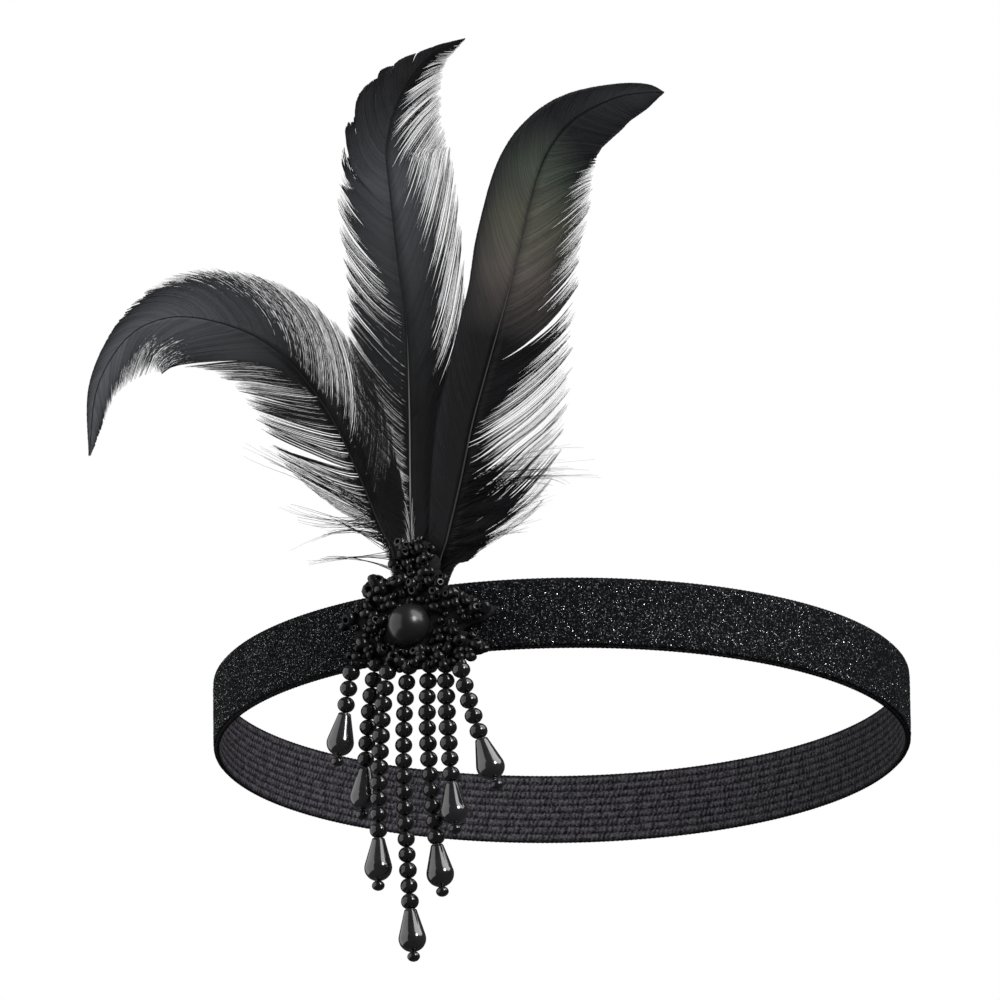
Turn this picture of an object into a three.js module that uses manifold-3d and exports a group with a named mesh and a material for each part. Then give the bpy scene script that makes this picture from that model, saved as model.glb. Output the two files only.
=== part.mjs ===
// Black feather headband: an elastic loop with a beaded rosette at the front, three feathers that
// stand up behind the rosette, and seven strings of beads with teardrops that hang below it.
// Millimetres, +Z up. The origin is the centre of the loop at half its height, and the rosette faces -Y.
// On the front of the loop a place is given as side (to +X), out (away from the loop's face) and up.
import * as THREE from 'three';
import { mergeVertices } from 'three/addons/utils/BufferGeometryUtils.js';
import Module from 'manifold-3d';

// Elastic loop
const BAND_RADIUS = 82.5;
const BAND_HEIGHT = 17;
const BAND_WALL = 1.4;
const BAND_SIDES = 96;

// Rosette: an oval felt backing, lumps of seed beads around the cabochon, and a clump over the quills
const SEAT_GAP = 0.3;
const BACKING = { side: 0.3, up: 0.5, halfWidth: 16.5, halfHeight: 8, rear: 2.6, thickness: 1.3, sides: 24 };
const CABOCHON = { side: 0.3, up: -2.1, radius: 5, foot: 4.7, height: 6.6, rim: 1.2, sides: 16, steps: 6 };
const PETAL = { start: CABOCHON.radius + 0.5, halfWidth: 2.7, halfThickness: 1.7, out: 4.7 };
const PETALS = [
  { angle: 8, reach: 19.2 },
  { angle: 42, reach: 13 },
  { angle: 106, reach: 13.5 },
  { angle: 130, reach: 17 },
  { angle: 165, reach: 18.6 },
  { angle: 197, reach: 16.4 },
  { angle: 337, reach: 18.6 },
];
const CLUMP_OUT = 5.1;
const CLUMP = [
  { side: 0.5, up: 9, halfWidth: 7, halfHeight: 4.2 },
  { side: -2.4, up: 13, halfWidth: 3.8, halfHeight: 3.2 },
  { side: 3.4, up: 12.6, halfWidth: 4, halfHeight: 3.2 },
  { side: 0.6, up: 16, halfWidth: 4.6, halfHeight: 3 },
];
const LUMP_SIDES = 10;
const LUMP_RINGS = 6;

// Feathers: a row for each station of the shaft, with the width of the vane to each side of it there
const QUILL_RADIUS = 0.9;
const SHAFT_TIP_RADIUS = 0.35;
const QUILL_OUT = 1.2;
const LEAN_FROM = 9;
const LEAN_REACH = 200;
const VANE_HALF_THICKNESS = 0.35;
const VANE_EDGE_HALF_THICKNESS = 0.2;
const VANE_LEAST_WIDTH = 0.2;
const VANE_ROOT_SHARE = 0.8;
const VANE_START = 0.08;
const LOCKS = 16;
const LOCK_NOTCH = 0.16;
const LOCK_LIFT = 0.15;
const BARB_SWEEP = 0.6;
const VANE_FOLD = 0.12;
const FEATHERS = [
  {
    name: 'feather_left',
    lean: -8,
    stations: [
      { side: -3.5, up: -3, left: 0, right: 0 },
      { side: -5.5, up: 16, left: 1.5, right: 2 },
      { side: -9.5, up: 25, left: 3.5, right: 5 },
      { side: -16, up: 40, left: 10, right: 10 },
      { side: -23, up: 54, left: 16, right: 12.5 },
      { side: -32, up: 67, left: 15, right: 14 },
      { side: -42, up: 77, left: 13, right: 14 },
      { side: -55, up: 84, left: 12, right: 14 },
      { side: -68, up: 87, left: 11, right: 12.5 },
      { side: -78.5, up: 84, left: 10, right: 5.5 },
      { side: -86, up: 72, left: 4.5, right: 3.2 },
      { side: -86.8, up: 54.5, left: 0.6, right: 0.6 },
    ],
  },
  {
    name: 'feather_middle',
    lean: 0,
    stations: [
      { side: -1, up: -3, left: 0, right: 0 },
      { side: -1, up: 14, left: 1.5, right: 1.5 },
      { side: -1, up: 35, left: 10, right: 10 },
      { side: -1, up: 53, left: 13, right: 13 },
      { side: -1.5, up: 72, left: 14.5, right: 14.5 },
      { side: -3.5, up: 89, left: 14.5, right: 16 },
      { side: -5.5, up: 108, left: 14.5, right: 16 },
      { side: -6, up: 118, left: 12.5, right: 15 },
      { side: -2.5, up: 129, left: 10.5, right: 11.5 },
      { side: 5, up: 138, left: 2.5, right: 5.5 },
      { side: 14.5, up: 141, left: 0.6, right: 0.6 },
    ],
  },
  {
    name: 'feather_right',
    lean: 8,
    stations: [
      { side: 5, up: -3, left: 0, right: 0 },
      { side: 6.2, up: 12, left: 1.5, right: 1.5 },
      { side: 8.5, up: 18.5, left: 3.5, right: 8 },
      { side: 12.5, up: 31, left: 8, right: 19 },
      { side: 17, up: 46, left: 10, right: 21 },
      { side: 22, up: 59, left: 10.5, right: 19.5 },
      { side: 28, up: 74, left: 11, right: 16.5 },
      { side: 32, up: 85, left: 12, right: 15 },
      { side: 37.5, up: 99, left: 11.5, right: 14 },
      { side: 42.5, up: 106.5, left: 9.5, right: 12 },
      { side: 49, up: 111.5, left: 6.5, right: 9.5 },
      { side: 59, up: 114.5, left: 3.5, right: 7 },
      { side: 71, up: 114.5, left: 0.6, right: 0.6 },
    ],
  },
];

// Strings: side and endSide are where a string starts and where its teardrop ends, bow is how far it
// sways between, most in its upper half, and thread and first are the heights of the thread's end and
// of the top of the first bead
const BEAD_PITCH = 3.76;
const BEAD_SIDES = 10;
const BEAD_PROFILE = [
  { share: 0, radius: 0.7 },
  { share: 0.16, radius: 1.52 },
  { share: 0.5, radius: 2 },
  { share: 0.84, radius: 1.52 },
];
const THREAD_RADIUS = 0.45;
const SWAY_SKEW = 0.65;
const STRINGS = [
  { side: -15.1, endSide: -19.7, bow: 0, out: 3.8, thread: -7.5, first: -8.6, beads: 3 },
  { side: -9.2, endSide: -13.8, bow: -0.7, out: 2.5, thread: -6.7, first: -7.2, beads: 7 },
  { side: -4.9, endSide: -8.4, bow: -1.3, out: 4.7, thread: -7, first: -10.5, beads: 11 },
  { side: -0.3, endSide: -0.5, bow: -2.1, out: 3.2, thread: -7.9, first: -9.4, beads: 16 },
  { side: 4.7, endSide: 6.6, bow: -1.9, out: 3.2, thread: -7.6, first: -9.8, beads: 12 },
  { side: 8.5, endSide: 10.2, bow: -0.5, out: 4.7, thread: -8.9, first: -10.7, beads: 8 },
  { side: 12.1, endSide: 20.2, bow: -0.6, out: 6.2, thread: -10.6, first: -12.7, beads: 5 },
];
const DROP_GAP = 0.2;
const DROP = { length: 10, radius: 3.05, tipRadius: 0.8, widest: 6.4, swell: 1.25, sides: 10, steps: 5 };
const STOPPER_LENGTH = 2.1;
const STOPPER_PROFILE = [
  { share: 0, radius: 0.45 },
  { share: 0.2, radius: 1 },
  { share: 0.5, radius: 1.25 },
  { share: 0.85, radius: 1 },
  { share: 1, radius: 0 },
];

const MERGE_DISTANCE = 1e-3;

const wasm = await Module();
wasm.setup();

const material = (color, roughness, metalness) =>
  new THREE.MeshStandardMaterial({ color, roughness, metalness });
const finishes = {
  elastic: material(0x1a1a1d, 0.85, 0),
  seedBeads: material(0x0c0c0e, 0.25, 0),
  cabochon: material(0x070708, 0.06, 0),
  feather: material(0x141416, 0.55, 0),
  beads: material(0x080809, 0.1, 0),
  drops: material(0x16161a, 0.15, 0),
};

// Signed volume of a triangle mesh: positive when its faces point out
function signedVolume(position, corners) {
  const [a, b, c] = [new THREE.Vector3(), new THREE.Vector3(), new THREE.Vector3()];
  let volume = 0;
  for (let i = 0; i < corners.length; i += 3) {
    a.fromBufferAttribute(position, corners[i]);
    b.fromBufferAttribute(position, corners[i + 1]);
    c.fromBufferAttribute(position, corners[i + 2]);
    volume += a.dot(b.cross(c)) / 6;
  }
  return volume;
}

// One closed body from a geometry: shared corners merged, flat triangles at poles left out, faces outward
function closedBody(geometry) {
  const bare = geometry.clone();
  bare.deleteAttribute('normal');
  bare.deleteAttribute('uv');
  const merged = mergeVertices(bare, MERGE_DISTANCE);
  const corners = merged.index.array;
  const kept = [];
  for (let i = 0; i < corners.length; i += 3) {
    const [a, b, c] = [corners[i], corners[i + 1], corners[i + 2]];
    if (a !== b && b !== c && c !== a) kept.push(a, b, c);
  }
  if (signedVolume(merged.attributes.position, kept) < 0) kept.reverse();
  merged.setIndex(kept);
  return merged;
}

// The union of closed geometries
function joined(geometries) {
  const solids = geometries.map((geometry) => {
    const body = closedBody(geometry);
    const vertProperties = new Float32Array(body.attributes.position.array);
    const triVerts = new Uint32Array(body.index.array);
    return new wasm.Manifold(new wasm.Mesh({ numProp: 3, vertProperties, triVerts }));
  });
  const mesh = solids.reduce((whole, solid) => whole.add(solid)).getMesh();
  const geometry = new THREE.BufferGeometry();
  geometry.setAttribute('position', new THREE.BufferAttribute(new Float32Array(mesh.vertProperties), 3));
  geometry.setIndex(Array.from(mesh.triVerts));
  return geometry;
}

// Moves every vertex of a geometry by a function of its place
function reshaped(geometry, place) {
  const position = geometry.attributes.position;
  const vertex = new THREE.Vector3();
  for (let i = 0; i < position.count; i += 1) {
    const moved = place(vertex.fromBufferAttribute(position, i));
    position.setXYZ(i, moved.x, moved.y, moved.z);
  }
  return geometry;
}

// A flat layout of side, -out and up, wrapped round the loop's face
function wrapRoundBand(flat) {
  const angle = flat.x / BAND_RADIUS;
  const radius = BAND_RADIUS - flat.y;
  return new THREE.Vector3(radius * Math.sin(angle), -radius * Math.cos(angle), flat.z);
}

// A profile of radius and height, turned about +Z
function turned(profile, sides) {
  return new THREE.LatheGeometry(profile, sides).rotateX(Math.PI / 2);
}

const point = (radius, height) => new THREE.Vector2(radius, height);

function elasticBand() {
  const inner = BAND_RADIUS - BAND_WALL;
  const half = BAND_HEIGHT / 2;
  const profile = [
    point(inner, -half),
    point(BAND_RADIUS, -half),
    point(BAND_RADIUS, half),
    point(inner, half),
    point(inner, -half),
  ];
  return turned(profile, BAND_SIDES);
}

// An ellipsoid of beads lying on the rosette, with its long side turned from +X towards +Z
function lump(place, halfLength, halfWidth, turn) {
  return new THREE.SphereGeometry(1, LUMP_SIDES, LUMP_RINGS)
    .scale(halfLength, PETAL.halfThickness, halfWidth)
    .rotateY(-turn)
    .translate(place.side, -place.out, place.up);
}

function petal({ angle, reach }) {
  const turn = THREE.MathUtils.degToRad(angle);
  const middle = (PETAL.start + reach) / 2;
  const place = {
    side: CABOCHON.side + middle * Math.cos(turn),
    out: PETAL.out,
    up: CABOCHON.up + middle * Math.sin(turn),
  };
  return lump(place, (reach - PETAL.start) / 2, PETAL.halfWidth, turn);
}

// An oval disc with a ring of corners inside its rim, so that it bends with the loop
function rosetteBacking() {
  const { side, up, halfWidth, halfHeight, rear, thickness, sides } = BACKING;
  const midRing = 0.55;
  const profile = [
    point(0, 0),
    point(midRing, 0),
    point(1, 0),
    point(1, thickness),
    point(midRing, thickness),
    point(0, thickness),
  ];
  return new THREE.LatheGeometry(profile, sides)
    .scale(halfWidth, -1, halfHeight)
    .translate(side, -rear, up);
}

function beadRosette() {
  const clump = CLUMP.map((row) =>
    lump({ side: row.side, out: CLUMP_OUT, up: row.up }, row.halfWidth, row.halfHeight, 0));
  return reshaped(joined([rosetteBacking(), ...PETALS.map(petal), ...clump]), wrapRoundBand);
}

// A dome on a short straight rim, standing on its flat back and facing -Y
function cabochon() {
  const { side, up, radius, foot, height, rim, sides, steps } = CABOCHON;
  const profile = [point(0, 0), point(foot, 0)];
  for (let step = 0; step < steps; step += 1) {
    const angle = (Math.PI / 2) * (step / steps);
    profile.push(point(radius * Math.cos(angle), rim + (height - rim) * Math.sin(angle)));
  }
  profile.push(point(0, height));
  const back = BAND_RADIUS + BACKING.rear + BACKING.thickness + SEAT_GAP;
  return turned(profile, sides).rotateX(Math.PI / 2).translate(side, -back, up);
}

// A smooth function through a table's column, with the row number as its parameter
function column(rows, name) {
  const curve = new THREE.CatmullRomCurve3(
    rows.map((row, index) => new THREE.Vector3(index, row[name], 0)), false, 'centripetal');
  return (share) => curve.getPoint(share).y;
}

// The shaft's path by share of its length, with the width of the vane on its left (-1) or right (1) hand
function shaftOf(stations) {
  const path = new THREE.CatmullRomCurve3(
    stations.map((row) => new THREE.Vector3(row.side, 0, row.up)), false, 'centripetal');
  path.arcLengthDivisions = 400;
  const left = column(stations, 'left');
  const right = column(stations, 'right');
  return {
    length: path.getLength(),
    place: (share) => path.getPointAt(Math.min(share, 1)),
    ahead: (share) => path.getTangentAt(Math.min(share, 1)),
    width: (share, hand) => (hand < 0 ? left : right)(path.getUtoTmapping(Math.min(share, 1))),
  };
}

// Shares of the shaft's length where the vane has a cross-section: a ridge and a notch for each lock
function featherRows() {
  const rows = [{ share: 0, notch: false }, { share: VANE_START / 2, notch: false }];
  for (let row = 0; row <= 2 * LOCKS; row += 1) {
    rows.push({ share: VANE_START + (1 - VANE_START) * (row / (2 * LOCKS)), notch: row % 2 === 1 });
  }
  return rows;
}

// A feather: a tapered shaft along the stations with a thin vane folded back to each side, whose barbs
// sweep towards the tip and whose edge is notched between the locks. Above the loop it leans more and more.
function feather({ stations, lean }) {
  const shaft = shaftOf(stations);
  const slope = Math.tan(THREE.MathUtils.degToRad(lean));
  const surfacePoint = (share, across, proud) => {
    const ahead = shaft.ahead(share);
    const place = shaft.place(share);
    const side = place.x + across * ahead.z;
    const up = place.z - across * ahead.x;
    const rise = Math.max(0, up - LEAN_FROM);
    const bend = slope * rise * (0.5 + rise / LEAN_REACH);
    const out = QUILL_OUT + bend - VANE_FOLD * Math.abs(across) + proud;
    return [side, -(BAND_RADIUS + out), up];
  };
  const section = ({ share, notch }) => {
    const radius = THREE.MathUtils.lerp(QUILL_RADIUS, SHAFT_TIP_RADIUS, share);
    const edge = (hand) => {
      const full = shaft.width(share, hand);
      const tipShare = Math.min(1, share + (BARB_SWEEP * full) / shaft.length);
      const reach = shaft.width(tipShare, hand) * (notch ? 1 - LOCK_NOTCH : 1);
      return { share: tipShare, across: hand * Math.max(reach, radius + VANE_LEAST_WIDTH) };
    };
    const [left, right] = [edge(-1), edge(1)];
    const lift = notch ? -LOCK_LIFT : LOCK_LIFT;
    const root = Math.min(VANE_HALF_THICKNESS, radius * VANE_ROOT_SHARE);
    return [
      surfacePoint(left.share, left.across, lift + VANE_EDGE_HALF_THICKNESS),
      surfacePoint(share, -radius, root),
      surfacePoint(share, 0, radius),
      surfacePoint(share, radius, root),
      surfacePoint(right.share, right.across, lift + VANE_EDGE_HALF_THICKNESS),
      surfacePoint(right.share, right.across, lift - VANE_EDGE_HALF_THICKNESS),
      surfacePoint(share, radius, -root),
      surfacePoint(share, 0, -radius),
      surfacePoint(share, -radius, -root),
      surfacePoint(left.share, left.across, lift - VANE_EDGE_HALF_THICKNESS),
    ];
  };
  return loft(featherRows().map(section));
}

// A closed skin over cross-sections with equal numbers of points, with a flat fan over each end
function loft(sections) {
  const around = sections[0].length;
  const corners = [];
  for (let row = 0; row + 1 < sections.length; row += 1) {
    for (let i = 0; i < around; i += 1) {
      const here = row * around + i;
      const next = row * around + ((i + 1) % around);
      corners.push(here, next, here + around, next, next + around, here + around);
    }
  }
  const last = (sections.length - 1) * around;
  for (let i = 1; i + 1 < around; i += 1) {
    corners.push(0, i + 1, i, last, last + i, last + i + 1);
  }
  const geometry = new THREE.BufferGeometry();
  geometry.setAttribute('position', new THREE.Float32BufferAttribute(sections.flat(2), 3));
  geometry.setIndex(corners);
  return geometry;
}

const stringDrop = (string) => string.first - string.beads * BEAD_PITCH - DROP_GAP;
const stringEnd = (string) => stringDrop(string) - DROP.length - STOPPER_LENGTH;

// Lays a shape that was turned about +Z, at its own heights, along the swaying path of its string
function alongString(string) {
  const span = string.first - stringEnd(string);
  const sideAt = (height) => {
    const share = THREE.MathUtils.clamp((string.first - height) / span, 0, 1);
    const sway = string.bow * Math.sin(Math.PI * share ** SWAY_SKEW);
    return string.side + (string.endSide - string.side) * share + sway;
  };
  return (vertex) => {
    const slope = sideAt(vertex.z + 0.5) - sideAt(vertex.z - 0.5);
    const tilt = Math.atan(slope);
    return wrapRoundBand(new THREE.Vector3(
      sideAt(vertex.z) + vertex.x * Math.cos(tilt),
      vertex.y - string.out,
      vertex.z - vertex.x * Math.sin(tilt)));
  };
}

// Round beads threaded in a row, one bulge after another, with the bare thread above the first
function beadString(string) {
  const bottom = string.first - string.beads * BEAD_PITCH;
  const profile = [
    point(0, string.thread),
    point(THREAD_RADIUS, string.thread),
    point(THREAD_RADIUS, string.first + THREAD_RADIUS / 4),
  ];
  for (let bead = 0; bead < string.beads; bead += 1) {
    const top = string.first - bead * BEAD_PITCH;
    for (const { share, radius } of BEAD_PROFILE) profile.push(point(radius, top - share * BEAD_PITCH));
  }
  profile.push(point(BEAD_PROFILE[0].radius, bottom), point(0, bottom));
  return reshaped(turned(profile, BEAD_SIDES), alongString(string));
}

// A teardrop, narrow at the top and round below, with the small stopper bead fused under it
function teardrop(string) {
  const { length, radius, tipRadius, widest, swell, sides, steps } = DROP;
  const top = stringDrop(string);
  const profile = [point(0, top)];
  for (let step = 0; step < steps; step += 1) {
    const share = step / steps;
    const growth = Math.sin((Math.PI / 2) * share) ** swell;
    profile.push(point(THREE.MathUtils.lerp(tipRadius, radius, growth), top - share * widest));
  }
  for (let step = 0; step < steps; step += 1) {
    const angle = (Math.PI / 2) * (step / steps);
    profile.push(point(radius * Math.cos(angle), top - widest - (length - widest) * Math.sin(angle)));
  }
  for (const { share, radius: girth } of STOPPER_PROFILE) {
    profile.push(point(girth, top - length - share * STOPPER_LENGTH));
  }
  return reshaped(turned(profile, sides), alongString(string));
}

const headband = new THREE.Group();

function add(name, geometry, finish) {
  const mesh = new THREE.Mesh(closedBody(geometry), finish);
  mesh.name = name;
  headband.add(mesh);
}

add('elastic_band', elasticBand(), finishes.elastic);
add('bead_rosette', beadRosette(), finishes.seedBeads);
add('cabochon', cabochon(), finishes.cabochon);
for (const row of FEATHERS) add(row.name, feather(row), finishes.feather);
STRINGS.forEach((string, index) => {
  add(`bead_string_${index + 1}`, beadString(string), finishes.beads);
  add(`teardrop_${index + 1}`, teardrop(string), finishes.drops);
});

export default headband;
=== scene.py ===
# %% [markdown]
# # A black feather headband
# An elastic loop carries a small beaded rosette. Three feathers stand behind the rosette, and seven
# strings of beads with teardrops hang below it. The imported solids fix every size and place, and this
# script dresses them: each step makes one kind of piece as a formula on whole numpy arrays, and gives
# it a finish made of shader nodes. Everything is in metres, with the loop's centre at the origin.

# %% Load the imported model
import math
from types import SimpleNamespace

import bpy
import numpy as np
from mathutils import Matrix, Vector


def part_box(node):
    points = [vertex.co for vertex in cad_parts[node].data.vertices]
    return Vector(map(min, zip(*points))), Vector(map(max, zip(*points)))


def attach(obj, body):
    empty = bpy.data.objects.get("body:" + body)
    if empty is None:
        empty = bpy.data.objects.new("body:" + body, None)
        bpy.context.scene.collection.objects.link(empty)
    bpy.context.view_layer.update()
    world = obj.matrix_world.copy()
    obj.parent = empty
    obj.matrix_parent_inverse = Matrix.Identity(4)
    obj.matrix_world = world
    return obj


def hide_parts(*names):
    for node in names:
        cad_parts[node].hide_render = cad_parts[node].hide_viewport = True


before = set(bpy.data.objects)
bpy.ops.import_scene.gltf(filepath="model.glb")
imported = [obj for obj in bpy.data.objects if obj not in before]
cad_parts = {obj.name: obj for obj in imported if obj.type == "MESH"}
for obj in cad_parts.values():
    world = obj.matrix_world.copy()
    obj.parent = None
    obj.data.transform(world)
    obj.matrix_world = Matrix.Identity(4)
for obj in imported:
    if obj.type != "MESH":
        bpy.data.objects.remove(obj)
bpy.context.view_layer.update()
band_low, band_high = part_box("elastic_band")
MM = 0.001
BAND_RADIUS = band_high.x
BAND_HEIGHT = band_high.z - band_low.z
scene = bpy.context.scene
random = np.random.default_rng(1925)
print(f"the loop is {2 * BAND_RADIUS / MM:.0f} mm across and {BAND_HEIGHT / MM:.0f} mm high")

# %% [markdown]
# ## Camera
# The photograph looks up at the headband from a little below, from its right, with a long lens. A
# camera can be set by eye, but here its three axes are worked out from two angles and a small roll,
# and it is then turned until the loop's centre falls on the pixel where the photograph has it.

# %% Camera
VIEW_AZIMUTH = math.radians(23.6)
VIEW_ELEVATION = math.radians(-16.56)
VIEW_ROLL = math.radians(-0.86)
VIEW_DISTANCE = 3.0
IMAGE_PIXELS = 1000
PIXELS_PER_METRE = 4211
CENTRE_PIXEL = (561.8, 713.7)


def unit(vector):
    """A vector, or each vector of an array, divided by its length."""
    return vector / np.linalg.norm(vector, axis=-1, keepdims=True)


def placement(right, up, back, place):
    """A matrix that turns an object's own axes to right, up and back, and moves it to a place."""
    matrix = np.eye(4)
    matrix[:3] = np.column_stack([right, up, back, place])
    return Matrix(matrix)


def view_axes():
    """Right, up and back of the photograph's view: azimuth about +Z, then elevation, then roll."""
    sine, cosine = math.sin(VIEW_AZIMUTH), math.cos(VIEW_AZIMUTH)
    level = math.cos(VIEW_ELEVATION)
    back = np.array([sine * level, -cosine * level, math.sin(VIEW_ELEVATION)])
    right = np.array([cosine, sine, 0])
    up = np.cross(back, right)
    turned_right = math.cos(VIEW_ROLL) * right + math.sin(VIEW_ROLL) * up
    return turned_right, np.cross(back, turned_right), back


view_right, view_up, view_back = view_axes()
aim = view_right * (IMAGE_PIXELS / 2 - CENTRE_PIXEL[0]) / PIXELS_PER_METRE
aim = aim - view_up * (IMAGE_PIXELS / 2 - CENTRE_PIXEL[1]) / PIXELS_PER_METRE
eye = view_back * VIEW_DISTANCE
camera_back = unit(eye - aim)
camera_right = unit(view_right - camera_back * (view_right @ camera_back))
camera_up = np.cross(camera_back, camera_right)

camera_data = bpy.data.cameras.new("camera")
camera_data.lens = PIXELS_PER_METRE * VIEW_DISTANCE / IMAGE_PIXELS * camera_data.sensor_width
camera = bpy.data.objects.new("camera", camera_data)
camera.matrix_world = placement(camera_right, camera_up, camera_back, eye)
scene.collection.objects.link(camera)
scene.camera = camera
print(f"lens {camera_data.lens:.0f} mm, eye at {np.round(eye, 2)}")

# %% [markdown]
# ## Studio
# A product picture on white has a white backdrop that the glossy beads don't mirror. They show dark
# surroundings with a bright lamp in a broad soft window at the upper right, and a dim panel at the left.
# So the world has three brightnesses: white to the camera, dim to matt surfaces, and dimmer still in
# mirrored rays. Three soft lamps are placed in the camera's axes. The floor lies well below, because a
# head holds the headband up. It glows a little and only the camera sees it, so it lights nothing.

# %% Studio light and floor
scene.view_settings.view_transform = "Standard"
scene.view_settings.look = "None"


def make_world(seen, soft, mirrored):
    """A world with three brightnesses: to the camera, to matt surfaces, and in mirrored rays."""
    world = bpy.data.worlds.new("studio")
    world.use_nodes = True
    nodes, links = world.node_tree.nodes, world.node_tree.links
    path = nodes.new("ShaderNodeLightPath")
    to_camera = nodes.new("ShaderNodeMath")
    to_camera.operation = "MULTIPLY_ADD"
    to_camera.inputs[1].default_value = seen - soft
    to_camera.inputs[2].default_value = soft
    to_mirror = nodes.new("ShaderNodeMath")
    to_mirror.operation = "MULTIPLY_ADD"
    to_mirror.inputs[1].default_value = mirrored - soft
    links.new(path.outputs["Is Camera Ray"], to_camera.inputs[0])
    links.new(path.outputs["Is Glossy Ray"], to_mirror.inputs[0])
    links.new(to_camera.outputs[0], to_mirror.inputs[2])
    background = nodes["Background"]
    background.inputs["Color"].default_value = (1, 1, 1, 1)
    links.new(to_mirror.outputs[0], background.inputs["Strength"])
    return world


def soft_lamp(name, shape, direction, distance, width, height, radiance):
    """A soft lamp in a direction given in the camera's right, up and back, facing the camera's aim. Its
    power is its radiance times pi times its area."""
    data = bpy.data.lights.new(name, "AREA")
    data.shape = shape
    data.size = width
    data.size_y = height
    filled = 1 if shape == "RECTANGLE" else math.pi / 4
    data.energy = radiance * math.pi * width * height * filled
    lamp = bpy.data.objects.new(name, data)
    outward = unit(np.array(direction) @ np.stack([camera_right, camera_up, camera_back]))
    across = unit(np.cross([0, 0, 1], outward))
    lamp.matrix_world = placement(across, np.cross(outward, across), outward, aim + distance * outward)
    lamp.visible_camera = False
    scene.collection.objects.link(lamp)


scene.world = make_world(seen=1.0, soft=0.18, mirrored=0.05)
soft_lamp("key", "ELLIPSE", (0.5, 0.52, 0.7), distance=1.3, width=0.42, height=0.52, radiance=12)
soft_lamp("window", "ELLIPSE", (0.64, 0.75, 0.15), distance=1.1, width=1.3, height=1.3, radiance=2.3)
soft_lamp("side_panel", "RECTANGLE", (-1, 0.1, 0.05), distance=1.0, width=2.0, height=1.6, radiance=0.75)

FLOOR_HEIGHT = -1.0
FLOOR_SIZE = 16.0
floor_mesh = bpy.data.meshes.new("floor")
half = FLOOR_SIZE / 2
floor_corners = [(-half, -half, FLOOR_HEIGHT), (half, -half, FLOOR_HEIGHT)]
floor_corners += [(half, half, FLOOR_HEIGHT), (-half, half, FLOOR_HEIGHT)]
floor_mesh.from_pydata(floor_corners, [], [(0, 1, 2, 3)])
floor = bpy.data.objects.new("floor", floor_mesh)
scene.collection.objects.link(floor)
floor.visible_glossy = False
floor.visible_diffuse = False
print("world, three lamps and a floor")

# %% [markdown]
# ## Shader maths as Python
# Shader nodes can be wired one by one, but a long chain of Math nodes is hard to read. A small class
# wraps an output socket, so that an expression such as 1 - mask adds the Math node by itself. Every
# other node comes from one method, which takes the node's type, its settings and its sockets.


# %% Finishes
class Value:
    """An output socket of a finish. Arithmetic on it adds one Math node for each operator."""

    def __init__(self, finish, socket):
        self.finish = finish
        self.socket = socket

    def combine(self, operation, first, second):
        """One Math node on two numbers or sockets."""
        return self.finish.node("ShaderNodeMath", {"operation": operation}, {0: first, 1: second})

    def __add__(self, other):
        return self.combine("ADD", self, other)

    def __radd__(self, other):
        return self.combine("ADD", other, self)

    def __sub__(self, other):
        return self.combine("SUBTRACT", self, other)

    def __rsub__(self, other):
        return self.combine("SUBTRACT", other, self)

    def __mul__(self, other):
        return self.combine("MULTIPLY", self, other)

    def __rmul__(self, other):
        return self.combine("MULTIPLY", other, self)


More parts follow.
